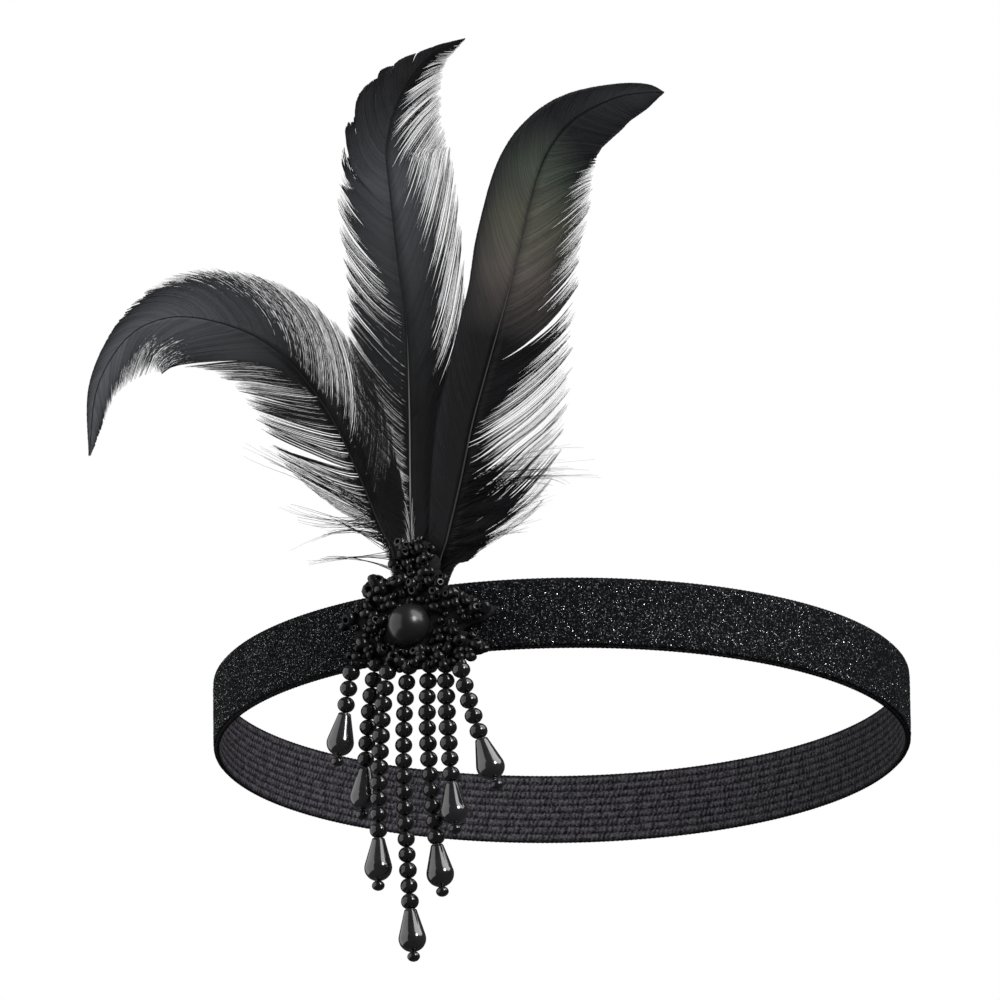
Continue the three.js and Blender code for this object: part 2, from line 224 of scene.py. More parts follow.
class Finish:
    """A material with one Principled shader. Constants go straight on the shader's sockets."""

    def __init__(self, name, constants):
        self.material = bpy.data.materials.new(name)
        self.material.use_nodes = True
        self.tree = self.material.node_tree
        self.shader = self.tree.nodes["Principled BSDF"]
        for socket, value in constants.items():
            self.shader.inputs[socket].default_value = value

    def node(self, kind, settings=None, inputs=None, output=0):
        """Adds a node: its settings first, then a value or a link for each named or numbered socket."""
        made = self.tree.nodes.new(kind)
        for name, value in (settings or {}).items():
            if name == "stops":
                self.set_stops(made.color_ramp, value)
            else:
                setattr(made, name, value)
        for name, value in (inputs or {}).items():
            if isinstance(value, Value):
                self.tree.links.new(value.socket, made.inputs[name])
            else:
                made.inputs[name].default_value = value
        return Value(self, made.outputs[output])

    def set_stops(self, ramp, stops):
        """Gives a colour ramp its stops, each a place from 0 to 1 and a colour."""
        while len(ramp.elements) < len(stops):
            ramp.elements.new(0.5)
        for element, (place, colour) in zip(ramp.elements, stops):
            element.position = place
            element.color = (*colour, 1)

    def place(self):
        """The point's own coordinates on the piece, in metres."""
        return self.node("ShaderNodeTexCoord", output="Object")

    def attribute(self, name, output="Fac"):
        """A value, or with output Color a colour, that the mesh carries at its points."""
        return self.node("ShaderNodeAttribute", {"attribute_name": name}, output=output)

    def noise(self, size, detail=2.0):
        """Smooth random values from 0 to 1 that change over about a size in metres."""
        sockets = {"Vector": self.place(), "Scale": 1 / size, "Detail": detail}
        return self.node("ShaderNodeTexNoise", None, sockets)

    def ramp(self, value, *stops):
        """A colour from a value by a colour ramp."""
        return self.node("ShaderNodeValToRGB", {"stops": stops}, {"Fac": value})

    def mix(self, share, first, second):
        """A colour between two colours."""
        settings = {"data_type": "RGBA", "clamp_factor": True}
        first = first if isinstance(first, Value) else (*first, 1)
        second = second if isinstance(second, Value) else (*second, 1)
        return self.node("ShaderNodeMix", settings, {0: share, 6: first, 7: second}, output=2)

    def feed(self, socket, value):
        """Links a varying value to one of the shader's sockets."""
        self.tree.links.new(value.socket, self.shader.inputs[socket])

    def bump(self, height, distance, strength):
        """Tilts the surface by a height from 0 to 1 that stands for a distance in metres."""
        sockets = {"Height": height, "Distance": distance, "Strength": strength}
        self.feed("Normal", self.node("ShaderNodeBump", None, sockets))

    def cloud(self, size, detail, dark, light):
        """Clouds the base colour from dark to light by a noise, and gives that noise."""
        noise = self.noise(size, detail)
        self.feed("Base Color", self.ramp(noise, (0.3, dark), (0.8, light)))
        return noise

    def gloss(self, least, spread, size):
        """Makes the roughness a least value plus a spread times a fine noise."""
        self.feed("Roughness", least + spread * self.noise(size, 4.0))


PAPER_DARK = (0.8, 0.8, 0.8)
PAPER_LIGHT = (0.84, 0.84, 0.84)
glow = {"Emission Color": (1, 1, 1, 1), "Emission Strength": 0.5}
floor_finish = Finish("floor_paper", {"Roughness": 0.9, **glow})
paper = floor_finish.mix(floor_finish.noise(0.4), PAPER_DARK, PAPER_LIGHT)
floor_finish.feed("Base Color", paper)
floor_mesh.materials.append(floor_finish.material)
print("the floor has its paper finish")

# %% [markdown]
# ## From arrays to pieces
# Blender can model by hand or with modifiers. Here each piece is a grid of points from a formula, and
# many small copies are one array, so a few helpers list the faces between neighbouring points, repeat
# them for each copy, and turn them outwards by the sign of the volume that they enclose.


# %% Mesh helpers
def circle(steps):
    """Angles in equal steps once round."""
    return np.linspace(0, 2 * np.pi, steps, endpoint=False)


def face_grid(rows, columns, close_rows=False, close_columns=False):
    """Four-sided faces between the neighbours in a grid of points, joined end to end where it closes."""
    index = np.arange(rows * columns).reshape(rows, columns)
    if close_rows:
        index = np.vstack([index, index[:1]])
    if close_columns:
        index = np.hstack([index, index[:, :1]])
    corners = [index[:-1, :-1], index[:-1, 1:], index[1:, 1:], index[1:, :-1]]
    return np.stack(corners, axis=-1).reshape(-1, 4)


def repeat_faces(faces, copies, points_each):
    """The same faces for every copy of a shape, where the copies' points follow one another."""
    shifts = points_each * np.arange(copies)[:, None, None]
    return (faces[None] + shifts).reshape(-1, faces.shape[1])


def enclosed_volume(points, face_sets):
    """A sixth of the sum of a . (b x c) over triangles: positive when the faces point outwards."""
    total = 0.0
    for faces in face_sets:
        for corner in range(1, faces.shape[1] - 1):
            a, b, c = points[faces[:, 0]], points[faces[:, corner]], points[faces[:, corner + 1]]
            total += np.einsum("ij,ij->", a, np.cross(b, c)) / 6
    return total


def round_loop(radius, angle, height):
    """Points at a radius and a height, at an angle round the loop from the middle of its front."""
    height = np.broadcast_to(height, radius.shape)
    return np.stack([radius * np.sin(angle), -radius * np.cos(angle), height], axis=-1)


def wrap(flat):
    """Side, out and up on the loop's front, wrapped round it: the angle is side over the loop's radius."""
    return round_loop(BAND_RADIUS + flat[..., 1], flat[..., 0] / BAND_RADIUS, flat[..., 2])


print(f"a grid of 3 by 4 points has {len(face_grid(3, 4))} faces")


# %% Pieces
def make_piece(name, points, face_sets, finish, node, values=None, colours=None, smooth=True):
    """Puts points and faces into a mesh, turned outwards, hangs the piece under the root body and
    hides the solid it stands for.
    """
    points = np.asarray(points, float).reshape(-1, 3)
    volume = enclosed_volume(points, face_sets)
    if volume < 0:
        face_sets = [faces[:, ::-1] for faces in face_sets]
    corners = np.concatenate([faces.ravel() for faces in face_sets]).astype(np.int32)
    sizes = np.concatenate([np.full(len(faces), faces.shape[1]) for faces in face_sets])
    mesh = bpy.data.meshes.new(name)
    mesh.vertices.add(len(points))
    mesh.vertices.foreach_set("co", points.astype(np.float32).ravel())
    mesh.loops.add(len(corners))
    mesh.loops.foreach_set("vertex_index", corners)
    mesh.polygons.add(len(sizes))
    mesh.polygons.foreach_set("loop_start", (np.cumsum(sizes) - sizes).astype(np.int32))
    mesh.polygons.foreach_set("use_smooth", np.full(len(sizes), smooth))
    mesh.update(calc_edges=True)
    for title, array in (values or {}).items():
        attribute = mesh.attributes.new(title, "FLOAT", "POINT")
        attribute.data.foreach_set("value", np.asarray(array, np.float32).ravel())
    for title, array in (colours or {}).items():
        attribute = mesh.attributes.new(title, "FLOAT_COLOR", "POINT")
        attribute.data.foreach_set("color", np.asarray(array, np.float32).ravel())
    mesh.materials.append(finish.material)
    piece = bpy.data.objects.new(name, mesh)
    scene.collection.objects.link(piece)
    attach(piece, "root")
    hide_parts(node)
    print(f"{name}: {int((sizes - 2).sum())} triangles, {abs(volume) / MM**3:.0f} cubic mm")


# %% [markdown]
# ## Elastic loop
# The loop is knitted elastic: on its inside nine cords run lengthwise, and each is crossed by slanting
# stitches a little over a millimetre apart, which also make its two edges slightly toothed. A bump map
# would be flat in outline, so the ribs and stitches are heights on a grid round the loop: one direction
# goes round the closed cross-section, the other round the head. The finish has painted shade: its colour
# is darker in the hollows between the ribs and the stitches.

# %% Elastic finish
# Tones of the thread, picked by a value that is part random and part painted shade, so the darkest one falls
# mostly in the hollows as painted shade.
THREAD_AND_SHADE_TONES = [
    (0.4, (0.0015, 0.0015, 0.002)),
    (0.58, (0.029, 0.027, 0.033)),
    (0.78, (0.115, 0.108, 0.125)),
]
elastic = Finish("knitted_elastic", {"Roughness": 0.8, "Specular IOR Level": 0.15})
# Painted shade: the shade value is low in the hollows and darkens the colour there, and the noise adds a
# random tone of the thread.
tone_and_hollow_shade = elastic.attribute("relief") * 0.4 + elastic.noise(0.5 * MM) * 0.7
elastic.feed("Base Color", elastic.ramp(tone_and_hollow_shade, *THREAD_AND_SHADE_TONES))
elastic.bump(elastic.noise(0.25 * MM), 0.08 * MM, 0.5)
print(f"elastic thread in {len(THREAD_AND_SHADE_TONES)} tones")

# %% Elastic loop
WALL = 1.4 * MM
RIBS = 9
RIB_DEPTH = 0.34 * MM
RIB_ROUNDNESS = 2.2
STITCHES = 450
STITCH_DEPTH = 0.2 * MM
STITCH_SLANT = 0.45
STITCH_DRIFT = 0.8
DRIFT_WAVES = (50, 170)
EDGE_TOOTH = 0.06 * MM
EDGE_ROUND = 0.45 * MM
EDGE_ROWS = 5
OUTER_ROWS = 3
PLAIN_RELIEF_SHADE = 0.2
ROWS_PER_RIB = 4
COLUMNS_PER_STITCH = 3


def knitted_face(around, half_height):
    """Radius, height and painted shade of the inner face. Each rib is a rounded arch, and the stitches are a
    cosine round the loop whose phase slants across the rib. Two slow waves of each rib's own make its
    stitches drift, and a third changes their depth. The painted shade is 1 on the top of a rib and lower
    in the grooves between the ribs and in the hollows of the stitches."""
    rib_place = np.linspace(0, RIBS, RIBS * ROWS_PER_RIB + 1)[:, None]
    rib_share = rib_place % 1
    arch = 1 - np.abs(2 * rib_share - 1) ** RIB_ROUNDNESS
    rib = np.minimum(rib_place[:, 0], RIBS - 1).astype(int)
    waves = random.integers(*DRIFT_WAVES, (3, RIBS))[:, rib, None]
    starts = random.uniform(0, 2 * np.pi, (4, RIBS))[:, rib, None]
    drift = np.sin(waves[0] * around + starts[0]) + np.sin(waves[1] * around + starts[1])
    slant = 2 * np.pi * STITCH_SLANT * rib_share
    phase = STITCHES * around + slant + STITCH_DRIFT * drift + starts[3]
    stitch = (0.5 - 0.5 * np.cos(phase)) * (0.7 + 0.3 * np.sin(waves[2] * around + starts[2]))
    ribbed = BAND_RADIUS - WALL + RIB_DEPTH * (1 - arch)
    radius = ribbed + STITCH_DEPTH * stitch * (0.35 + 0.65 * arch)
    height = np.broadcast_to(half_height * (2 * rib_place / RIBS - 1), radius.shape)
    # The third value is painted shade: 1 on the top of a rib, lower in the grooves and stitch hollows.
    return radius, height, arch * (1 - 0.6 * stitch) + (1 - arch) * 0.6 * (1 - stitch) ** 2


def elastic_loop():
    """Rows go up the knitted inner face, over the top edge, down the plain outer face and under the bottom
    edge. An edge is half an ellipse whose height has a small cosine, one wave for each stitch."""
    around = circle(STITCHES * COLUMNS_PER_STITCH)[None, :]
    half_height = BAND_HEIGHT / 2 - EDGE_ROUND
    inner_radius, inner_height, inner_relief_shade = knitted_face(around, half_height)
    bend = np.linspace(0, np.pi, EDGE_ROWS + 2)[1:-1, None]
    tooth = EDGE_TOOTH * np.cos(STITCHES * around)
    edge_height = half_height + (EDGE_ROUND + tooth) * np.sin(bend)
    edge_radius = BAND_RADIUS - WALL / 2 - (WALL / 2 - RIB_DEPTH / 2) * np.cos(bend)
    edge_radius = np.broadcast_to(edge_radius, edge_height.shape)
    outer_rows = np.linspace(half_height, -half_height, OUTER_ROWS)[:, None]
    outer_height = np.broadcast_to(outer_rows, (OUTER_ROWS, around.size))
    outer_radius = np.full(outer_height.shape, BAND_RADIUS - RIB_DEPTH / 2)
    radius = np.vstack([inner_radius, edge_radius, outer_radius, edge_radius[::-1]])
    height = np.vstack([inner_height, edge_height, outer_height, -edge_height[::-1]])
    # The edges and the outer face get one even value of painted shade.
    relief = np.full(radius.shape, PLAIN_RELIEF_SHADE)
    relief[:len(inner_relief_shade)] = inner_relief_shade
    return round_loop(radius, around, height), face_grid(*radius.shape, True, True), relief


loop_points, loop_faces, loop_relief_shade = elastic_loop()
make_piece("elastic_loop", loop_points, [loop_faces], elastic, "elastic_band",
           values={"relief": loop_relief_shade})

# %% [markdown]
# ## Glitter ribbon
# The outside of the loop is faced with a soft black ribbon strewn with glitter, a little narrower than
# the elastic. Glitter could be a noise in the shader alone, but real flakes are flat mirrors that each
# face their own way, and only a few of them catch the lamp. So thousands of tiny three-cornered flakes
# are scattered over the ribbon and tilted at random, each with a point under it that closes it. The
# finest dust between them is left to the ribbon's colour, as dim specks at the middles of small cells:
# these pale specks are painted glints of the dust.

# %% Ribbon and glitter finishes
PILE_TONES = [(0.3, (0.001, 0.0012, 0.0016)), (0.75, (0.006, 0.007, 0.0085))]
# Painted glint: the pale colour of the dim specks stands for the sparkle of the finest glitter dust.
DUST_GLINT = (0.19, 0.205, 0.22)
ribbon = Finish("velvet_ribbon", {"Roughness": 0.85, "Specular IOR Level": 0.1})
pile = ribbon.ramp(ribbon.noise(0.6 * MM, 4.0), *PILE_TONES)
cells = {"Vector": ribbon.place(), "Scale": 1 / (0.55 * MM)}
nearness = 1 - 2.1 * ribbon.node("ShaderNodeTexVoronoi", None, cells, "Distance")
luck = ribbon.node("ShaderNodeTexVoronoi", None, cells, "Color")
ribbon.feed("Base Color", ribbon.mix(1.3 * nearness * luck * luck, pile, DUST_GLINT))
ribbon.bump(ribbon.noise(0.3 * MM, 3.0), 0.15 * MM, 0.8)

glitter = Finish("glitter_flake", {"Metallic": 1.0})
glitter.feed("Base Color", glitter.attribute("tint", "Color"))
glitter.feed("Roughness", 0.16 + 0.2 * glitter.noise(2 * MM))
print("velvet with dust, and glitter that takes each flake's own tint")

# %% Glitter ribbon
RIBBON_HALF = BAND_HEIGHT / 2 - 0.5 * MM
RIBBON_THICKNESS = 0.35 * MM
RIBBON_COLUMNS = 900
RIBBON_ROWS = 18
PILE_DEPTH = 0.07 * MM
FLAKES = 24000
FLAKE_SIZES = (0.05 * MM, 0.14 * MM)
FLAKE_TILT = 0.42
FLAKE_RISE = 0.02 * MM
FLAKE_MARGIN = 0.4 * MM
FLAKE_CASTS = np.array([[1, 1, 1], [1, 1, 1], [0.86, 0.92, 1], [0.88, 1, 0.95], [1, 0.96, 0.92]])


def signed_power(value, power):
    """A value's size raised to a power, with the value's sign."""
    return np.sign(value) * np.abs(value) ** power


def glitter_ribbon():
    """A thin closed strip round the loop: its section is a flat superellipse, its front is roughened."""
    section = circle(RIBBON_ROWS)[:, None]
    rounded = signed_power(np.cos(section), 0.25)
    height = RIBBON_HALF * signed_power(np.sin(section), 0.8)
    pile_height = PILE_DEPTH * random.random((RIBBON_ROWS, RIBBON_COLUMNS)) * (rounded > 0)
    radius = BAND_RADIUS + RIBBON_THICKNESS / 2 * rounded + pile_height
    points = round_loop(radius, circle(RIBBON_COLUMNS)[None, :], height)
    return points, face_grid(RIBBON_ROWS, RIBBON_COLUMNS, True, True)


def glitter_flakes():
    """Flakes of three corners at 120 degrees in a plane tilted from the ribbon, with a low apex behind."""
    turn = random.uniform(0, 2 * np.pi, FLAKES)
    height = random.uniform(-1, 1, FLAKES) * (RIBBON_HALF - FLAKE_MARGIN)
    outward = np.stack([np.sin(turn), -np.cos(turn), np.zeros(FLAKES)], axis=-1)
    aside = np.stack([np.cos(turn), np.sin(turn), np.zeros(FLAKES)], axis=-1)
    upward = np.broadcast_to([0, 0, 1], outward.shape)
    lean = random.normal(0, FLAKE_TILT, (2, FLAKES, 1))
    facing = unit(outward + lean[0] * aside + lean[1] * upward)
    first = unit(np.cross(facing, upward))
    second = np.cross(facing, first)
    size = random.uniform(*FLAKE_SIZES, (FLAKES, 1))
    spin = random.uniform(0, 2 * np.pi, (FLAKES, 1, 1)) + circle(3)[None, :, None]
    rise = RIBBON_THICKNESS / 2 + PILE_DEPTH + FLAKE_RISE
    centre = outward * (BAND_RADIUS + rise) + upward * height[:, None]
    ray = np.cos(spin) * first[:, None] + np.sin(spin) * second[:, None]
    corners = centre[:, None] + size[:, None] * ray
    apex = (centre - facing * size * 0.5)[:, None]
    points = np.concatenate([corners, apex], axis=1)
    faces = np.array([[0, 1, 2], [0, 3, 1], [1, 3, 2], [2, 3, 0]])
    brightness = random.uniform(0.2, 1, (FLAKES, 1)) ** 1.5
    tint = brightness * FLAKE_CASTS[random.integers(0, len(FLAKE_CASTS), FLAKES)]
    tint = np.concatenate([tint, np.ones((FLAKES, 1))], axis=1)
    return points, repeat_faces(faces, FLAKES, 4), np.repeat(tint, 4, axis=0)


ribbon_points, ribbon_faces = glitter_ribbon()
make_piece("glitter_ribbon", ribbon_points, [ribbon_faces], ribbon, "elastic_band")
flake_points, flake_faces, flake_tint = glitter_flakes()
make_piece("glitter_flakes", flake_points, [flake_faces], glitter, "elastic_band",
           colours={"tint": flake_tint}, smooth=False)

# %% [markdown]
# ## Beads on strings
# Seven threads carry round moulded beads, and each ends in a teardrop held by a small stopper bead. A
# sphere per bead would do from afar, but a real bead has a hole with a rounded lip, so a closed profile
# is turned round the thread. The threads sway a little, and every bead follows the slope of its thread.
# A string's beads and thread are one piece, and its teardrop and its stopper are pieces of their own.

# %% Bead finishes
bead_black = Finish("polished_bead",
                    {"Specular IOR Level": 0.5, "Coat Weight": 1.0, "Coat Roughness": 0.03})
bead_black.cloud(3 * MM, 3.0, (0.007, 0.007, 0.008), (0.018, 0.018, 0.02))
bead_black.gloss(0.06, 0.1, 1.2 * MM)
bead_black.bump(bead_black.noise(0.8 * MM), 0.02 * MM, 0.5)

drop_black = Finish("lustre_drop",
                    {"IOR": 1.75, "Coat Weight": 1.0, "Coat IOR": 1.75, "Coat Roughness": 0.03})
drop_black.cloud(4 * MM, 3.0, (0.01, 0.01, 0.011), (0.03, 0.03, 0.034))
drop_black.gloss(0.1, 0.12, 2 * MM)
drop_black.bump(drop_black.noise(1.1 * MM), 0.03 * MM, 0.5)
print("black for the beads, and a lustre for the drops")

# %% Turned beads and drops
BEAD_RADIUS = 2.0 * MM
BEAD_HALF_LENGTH = 1.84 * MM
HOLE_RADIUS = 0.5 * MM
DROP_LENGTH = 10 * MM
DROP_RADIUS = 3.1 * MM
DROP_TOP_RADIUS = 1.4 * MM
STOPPER_LENGTH = 2.3 * MM
STOPPER_RADIUS = 1.45 * MM
STOPPER_HOLE = 0.4 * MM
HOLE_WALL = 0.9
BEAD_STEPS, BEAD_SIDES = 13, 20
DROP_CONE_STEPS, DROP_BALL_STEPS, DROP_SIDES = 8, 20, 28
STOPPER_STEPS, STOPPER_SIDES = 9, 16


def turned(profile, sides):
    """A closed profile of radius and height, turned about +Z: the points and faces of a ring of tube."""
    angle = circle(sides)[None, :]
    radius = profile[:, :1]
    height = np.broadcast_to(profile[:, 1:], (len(profile), sides))
    points = np.stack([radius * np.cos(angle), radius * np.sin(angle), height], axis=-1)
    return points.reshape(-1, 3), face_grid(len(profile), sides, True, True)


def bead_profile(radius, half_length, hole, steps):
    """An arc of a circle from one end of the hole to the other, flattened to the bead's length, with the
    straight wall of the hole behind it."""
    end = math.acos(hole / radius)
    angle = np.linspace(-end, end, steps)
    height = half_length * np.sin(angle) / math.sin(end)
    wall = HOLE_WALL * half_length * np.array([1, -1])
    return np.vstack([np.column_stack([radius * np.cos(angle), height]),
                      np.column_stack([[HOLE_WALL * hole, HOLE_WALL * hole], wall])])


def drop_profile():
    """A straight cone that touches a ball: with the ball's middle at a depth m, the cone leans outwards
    by asin(R / hypot(m, r)) - atan(r / m), where R is the ball's radius and r the cone's at the top."""
    middle = DROP_LENGTH - DROP_RADIUS
    lean = math.asin(DROP_RADIUS / math.hypot(middle, DROP_TOP_RADIUS))
    lean = lean - math.atan2(DROP_TOP_RADIUS, middle)
    angle = np.linspace(-lean, np.pi / 2, DROP_BALL_STEPS)
    ball = np.maximum(DROP_RADIUS * np.cos(angle), HOLE_RADIUS + 0.1 * MM)
    ball_depth = middle + DROP_RADIUS * np.sin(angle)
    way = np.linspace(0, 1, DROP_CONE_STEPS, endpoint=False)
    cone = DROP_TOP_RADIUS + (ball[0] - DROP_TOP_RADIUS) * way
    lip = np.array([HOLE_RADIUS + 0.3 * MM, DROP_TOP_RADIUS - 0.15 * MM])
    radius = np.concatenate([lip, cone, ball, [HOLE_RADIUS, HOLE_RADIUS]])
    depth = np.concatenate([[-0.1 * MM, -0.1 * MM], ball_depth[0] * way, ball_depth])
    depth = np.concatenate([depth, [DROP_LENGTH - 0.2 * MM, 0.2 * MM]])
    return np.column_stack([radius, -depth])


round_profile = bead_profile(BEAD_RADIUS, BEAD_HALF_LENGTH, HOLE_RADIUS, BEAD_STEPS)
bead_shape, bead_faces = turned(round_profile, BEAD_SIDES)
drop_shape, drop_faces = turned(drop_profile(), DROP_SIDES)
stopper_profile = bead_profile(STOPPER_RADIUS, STOPPER_LENGTH / 2, STOPPER_HOLE, STOPPER_STEPS)
stopper_shape, stopper_faces = turned(stopper_profile, STOPPER_SIDES)
print(f"a bead has {len(bead_faces)} faces, a drop {len(drop_faces)}, a stopper {len(stopper_faces)}")

# %% Strings of beads with teardrops
BEAD_PITCH = 3.76 * MM
BEAD_SIZES = (0.97, 1.02)
THREAD_RADIUS = 0.3 * MM
THREAD_RINGS = 60
THREAD_SIDES = 6
SWAY_SKEW = 0.65
SLOPE_STEP = 0.5 * MM
DROP_GAP = 0.2 * MM
STRING_COLUMNS = ("side", "end_side", "bow", "out", "thread", "first")
STRINGS = [
    ((-15.1, -19.7, 0.0, 3.8, -7.5, -8.6), 3),
    ((-9.2, -13.8, -0.7, 2.5, -6.7, -7.2), 7),
    ((-4.9, -8.4, -1.3, 4.7, -7.0, -10.5), 11),
    ((-0.3, -0.5, -2.1, 3.2, -7.9, -9.4), 16),
    ((4.7, 6.6, -1.9, 3.2, -7.6, -9.8), 12),
    ((8.5, 10.2, -0.5, 4.7, -8.9, -10.7), 8),
    ((12.1, 20.2, -0.6, 6.2, -10.6, -12.7), 5),
]


def string_side(row, height):
    """How far to the side a thread is at a height: a straight way from start to end, plus its sway."""
    share = np.clip((row["first"] - height) / (row["first"] - row["bottom"]), 0, 1)
    sway = row["bow"] * np.sin(np.pi * share**SWAY_SKEW)
    return row["side"] + (row["end_side"] - row["side"]) * share + sway


def on_string(row, shape, heights, scale):
    """Copies of a shape threaded at heights, each turned to the slope of the thread, then wrapped."""
    above, below = string_side(row, heights + SLOPE_STEP), string_side(row, heights - SLOPE_STEP)
    tilt = np.arctan((above - below) / (2 * SLOPE_STEP))[:, None]
    x, y, z = np.moveaxis(shape[None] * scale[:, None, None], -1, 0)
    side = string_side(row, heights)[:, None] + x * np.cos(tilt) + z * np.sin(tilt)
    up = heights[:, None] - x * np.sin(tilt) + z * np.cos(tilt)
    return wrap(np.stack([side, row["out"] - y, up], axis=-1)).reshape(-1, 3)


def thread_tube(row):
    """A thin tube down the thread's own path into the stopper, narrowed at both ends."""
    heights = np.linspace(row["thread"], row["bottom"] + STOPPER_LENGTH / 2, THREAD_RINGS)
    angle = circle(THREAD_SIDES)
    radius = np.full((THREAD_RINGS, 1), THREAD_RADIUS)
    radius[[0, -1]] *= 0.2
    side = string_side(row, heights)[:, None] + radius * np.cos(angle)
    out = row["out"] + radius * np.sin(angle)
    up = np.broadcast_to(heights[:, None], side.shape)
    points = wrap(np.stack([side, out, up], axis=-1)).reshape(-1, 3)
    faces = face_grid(THREAD_RINGS, THREAD_SIDES, close_columns=True)
    ring = np.arange(THREAD_SIDES)
    return points, [faces, np.array([ring[::-1], ring + THREAD_SIDES * (THREAD_RINGS - 1)])]


for number, (sizes, beads) in enumerate(STRINGS, start=1):
    row = dict(zip(STRING_COLUMNS, np.array(sizes) * MM))
    drop_top = row["first"] - beads * BEAD_PITCH - DROP_GAP
    row["bottom"] = drop_top - DROP_LENGTH - STOPPER_LENGTH
    centres = row["first"] - BEAD_PITCH * (np.arange(beads) + 0.5)
    bead_points = on_string(row, bead_shape, centres, random.uniform(*BEAD_SIZES, beads))
    thread_points, thread_faces = thread_tube(row)
    face_sets = [repeat_faces(bead_faces, beads, len(bead_shape))]
    face_sets += [faces + len(bead_points) for faces in thread_faces]
    make_piece(f"string_{number}_beads", np.vstack([bead_points, thread_points]), face_sets,
               bead_black, f"bead_string_{number}")
    drop_points = on_string(row, drop_shape, np.array([drop_top]), np.ones(1))
    make_piece(f"string_{number}_drop", drop_points, [drop_faces], drop_black,
               f"teardrop_{number}")
    stopper_height = np.array([drop_top - DROP_LENGTH - STOPPER_LENGTH / 2])
    stopper_points = on_string(row, stopper_shape, stopper_height, np.ones(1))
    make_piece(f"string_{number}_stopper", stopper_points, [stopper_faces], bead_black,
               f"teardrop_{number}")

# %% [markdown]
# ## Rosette and cabochon
# The rosette is a small felt oval sewn full of beads. Felt pads raise its petals and the clump over the
# quills, small drilled beads are massed on them, and larger ones lie on top where they can be told apart.
# Beads could be scattered by a particle system, but here they are an array: each is a short turned ring
# with a hole, turned its own way. Some are polished and some are dull, so the coat follows a noise of a
# bead's size. A half-round cabochon sits in the middle, and that is a dome of revolution.

# %% Rosette finishes
felt = Finish("black_felt", {"Roughness": 0.95, "Specular IOR Level": 0.2})
fibre = felt.cloud(0.7 * MM, 5.0, (0.012, 0.012, 0.013), (0.032, 0.032, 0.035))
felt.bump(fibre, 0.3 * MM, 0.7)

seed_black = Finish("seed_bead", {"Specular IOR Level": 0.28, "Coat Roughness": 0.03})
seed_cloud = seed_black.cloud(2.2 * MM, 1.0, (0.004, 0.004, 0.0045), (0.016, 0.016, 0.018))
seed_black.gloss(0.12, 0.25, 1.5 * MM)
seed_black.feed("Coat Weight", seed_black.ramp(seed_cloud, (0.4, (0, 0, 0)), (0.62, (1, 1, 1))))

cabochon_black = Finish("cabochon",
                        {"Specular IOR Level": 0.65, "Coat Weight": 0.4, "Coat Roughness": 0.12})
cabochon_black.cloud(5 * MM, 3.0, (0.012, 0.012, 0.0135), (0.02, 0.02, 0.022))
cabochon_black.gloss(0.3, 0.06, 2 * MM)
print("felt, seed beads and cabochon have finishes")

# %% Felt backing and cabochon
BACKING_SIDE = 0.3 * MM
BACKING_UP = 0.5 * MM
BACKING_HALF_WIDTH = 15.2 * MM
BACKING_HALF_HEIGHT = 7.4 * MM
BACKING_REAR = 2.6 * MM
BACKING_THICKNESS = 1.3 * MM
BACKING_SIDES = 96
FRAY = 0.012
CABOCHON_SIDE = 0.3 * MM
CABOCHON_UP = -2.1 * MM
CABOCHON_RADIUS = 5 * MM
CABOCHON_FOOT = 4.7 * MM
CABOCHON_HEIGHT = 6.6 * MM
CABOCHON_RIM = 1.2 * MM
CABOCHON_SIDES = 56
CABOCHON_RINGS = 19
SEAT_GAP = 0.3 * MM


def capped_rings(rings):
    """Rings of points one above another, closed by a fan of triangles to the middle of each end ring."""
    count, around = rings.shape[:2]
    points = np.vstack([rings.reshape(-1, 3), rings[0].mean(0), rings[-1].mean(0)])
    here = np.arange(around)
    after = (here + 1) % around
    last = (count - 1) * around
    low_fan = np.stack([after, here, np.full(around, count * around)], axis=-1)
    high_fan = np.stack([last + here, last + after, np.full(around, count * around + 1)], axis=-1)
    return points, [face_grid(count, around, close_columns=True), low_fan, high_fan]


def felt_backing():
    """An oval whose radius swells and shrinks over its thickness as half a circle, with a frayed edge."""
    angle = circle(BACKING_SIDES)[None, :]
    share = np.array([0, 0, 0, 0.04, 0.2, 0.5, 0.8, 0.96, 1, 1, 1])[:, None]
    reach = np.array([0.3, 0.6, 0.9, 0.97, 0.99, 1, 0.99, 0.97, 0.9, 0.6, 0.3])[:, None]
    reach = reach * (1 + FRAY * random.normal(size=(1, BACKING_SIDES)) * (reach > 0.8))
    side = BACKING_SIDE + BACKING_HALF_WIDTH * reach * np.cos(angle)
    up = BACKING_UP + BACKING_HALF_HEIGHT * reach * np.sin(angle)
    out = np.broadcast_to(BACKING_REAR + BACKING_THICKNESS * share, side.shape)
    return capped_rings(wrap(np.stack([side, out, up], axis=-1)))


def cabochon_dome():
    """A short straight rim with a quarter ellipse turned over it, facing out from the loop's front."""
    angle = circle(CABOCHON_SIDES)[None, :]
    arch = np.linspace(0, np.pi / 2, CABOCHON_RINGS, endpoint=False)
    dome = CABOCHON_RIM + (CABOCHON_HEIGHT - CABOCHON_RIM) * np.sin(arch)
    radius = np.concatenate([[CABOCHON_FOOT], CABOCHON_RADIUS * np.cos(arch)])[:, None]
    height = np.concatenate([[0], dome])[:, None]
    side = CABOCHON_SIDE + radius * np.cos(angle)
    up = CABOCHON_UP + radius * np.sin(angle)
    back = BAND_RADIUS + BACKING_REAR + BACKING_THICKNESS + SEAT_GAP
    return capped_rings(np.stack([side, np.broadcast_to(-(back + height), side.shape), up], axis=-1))


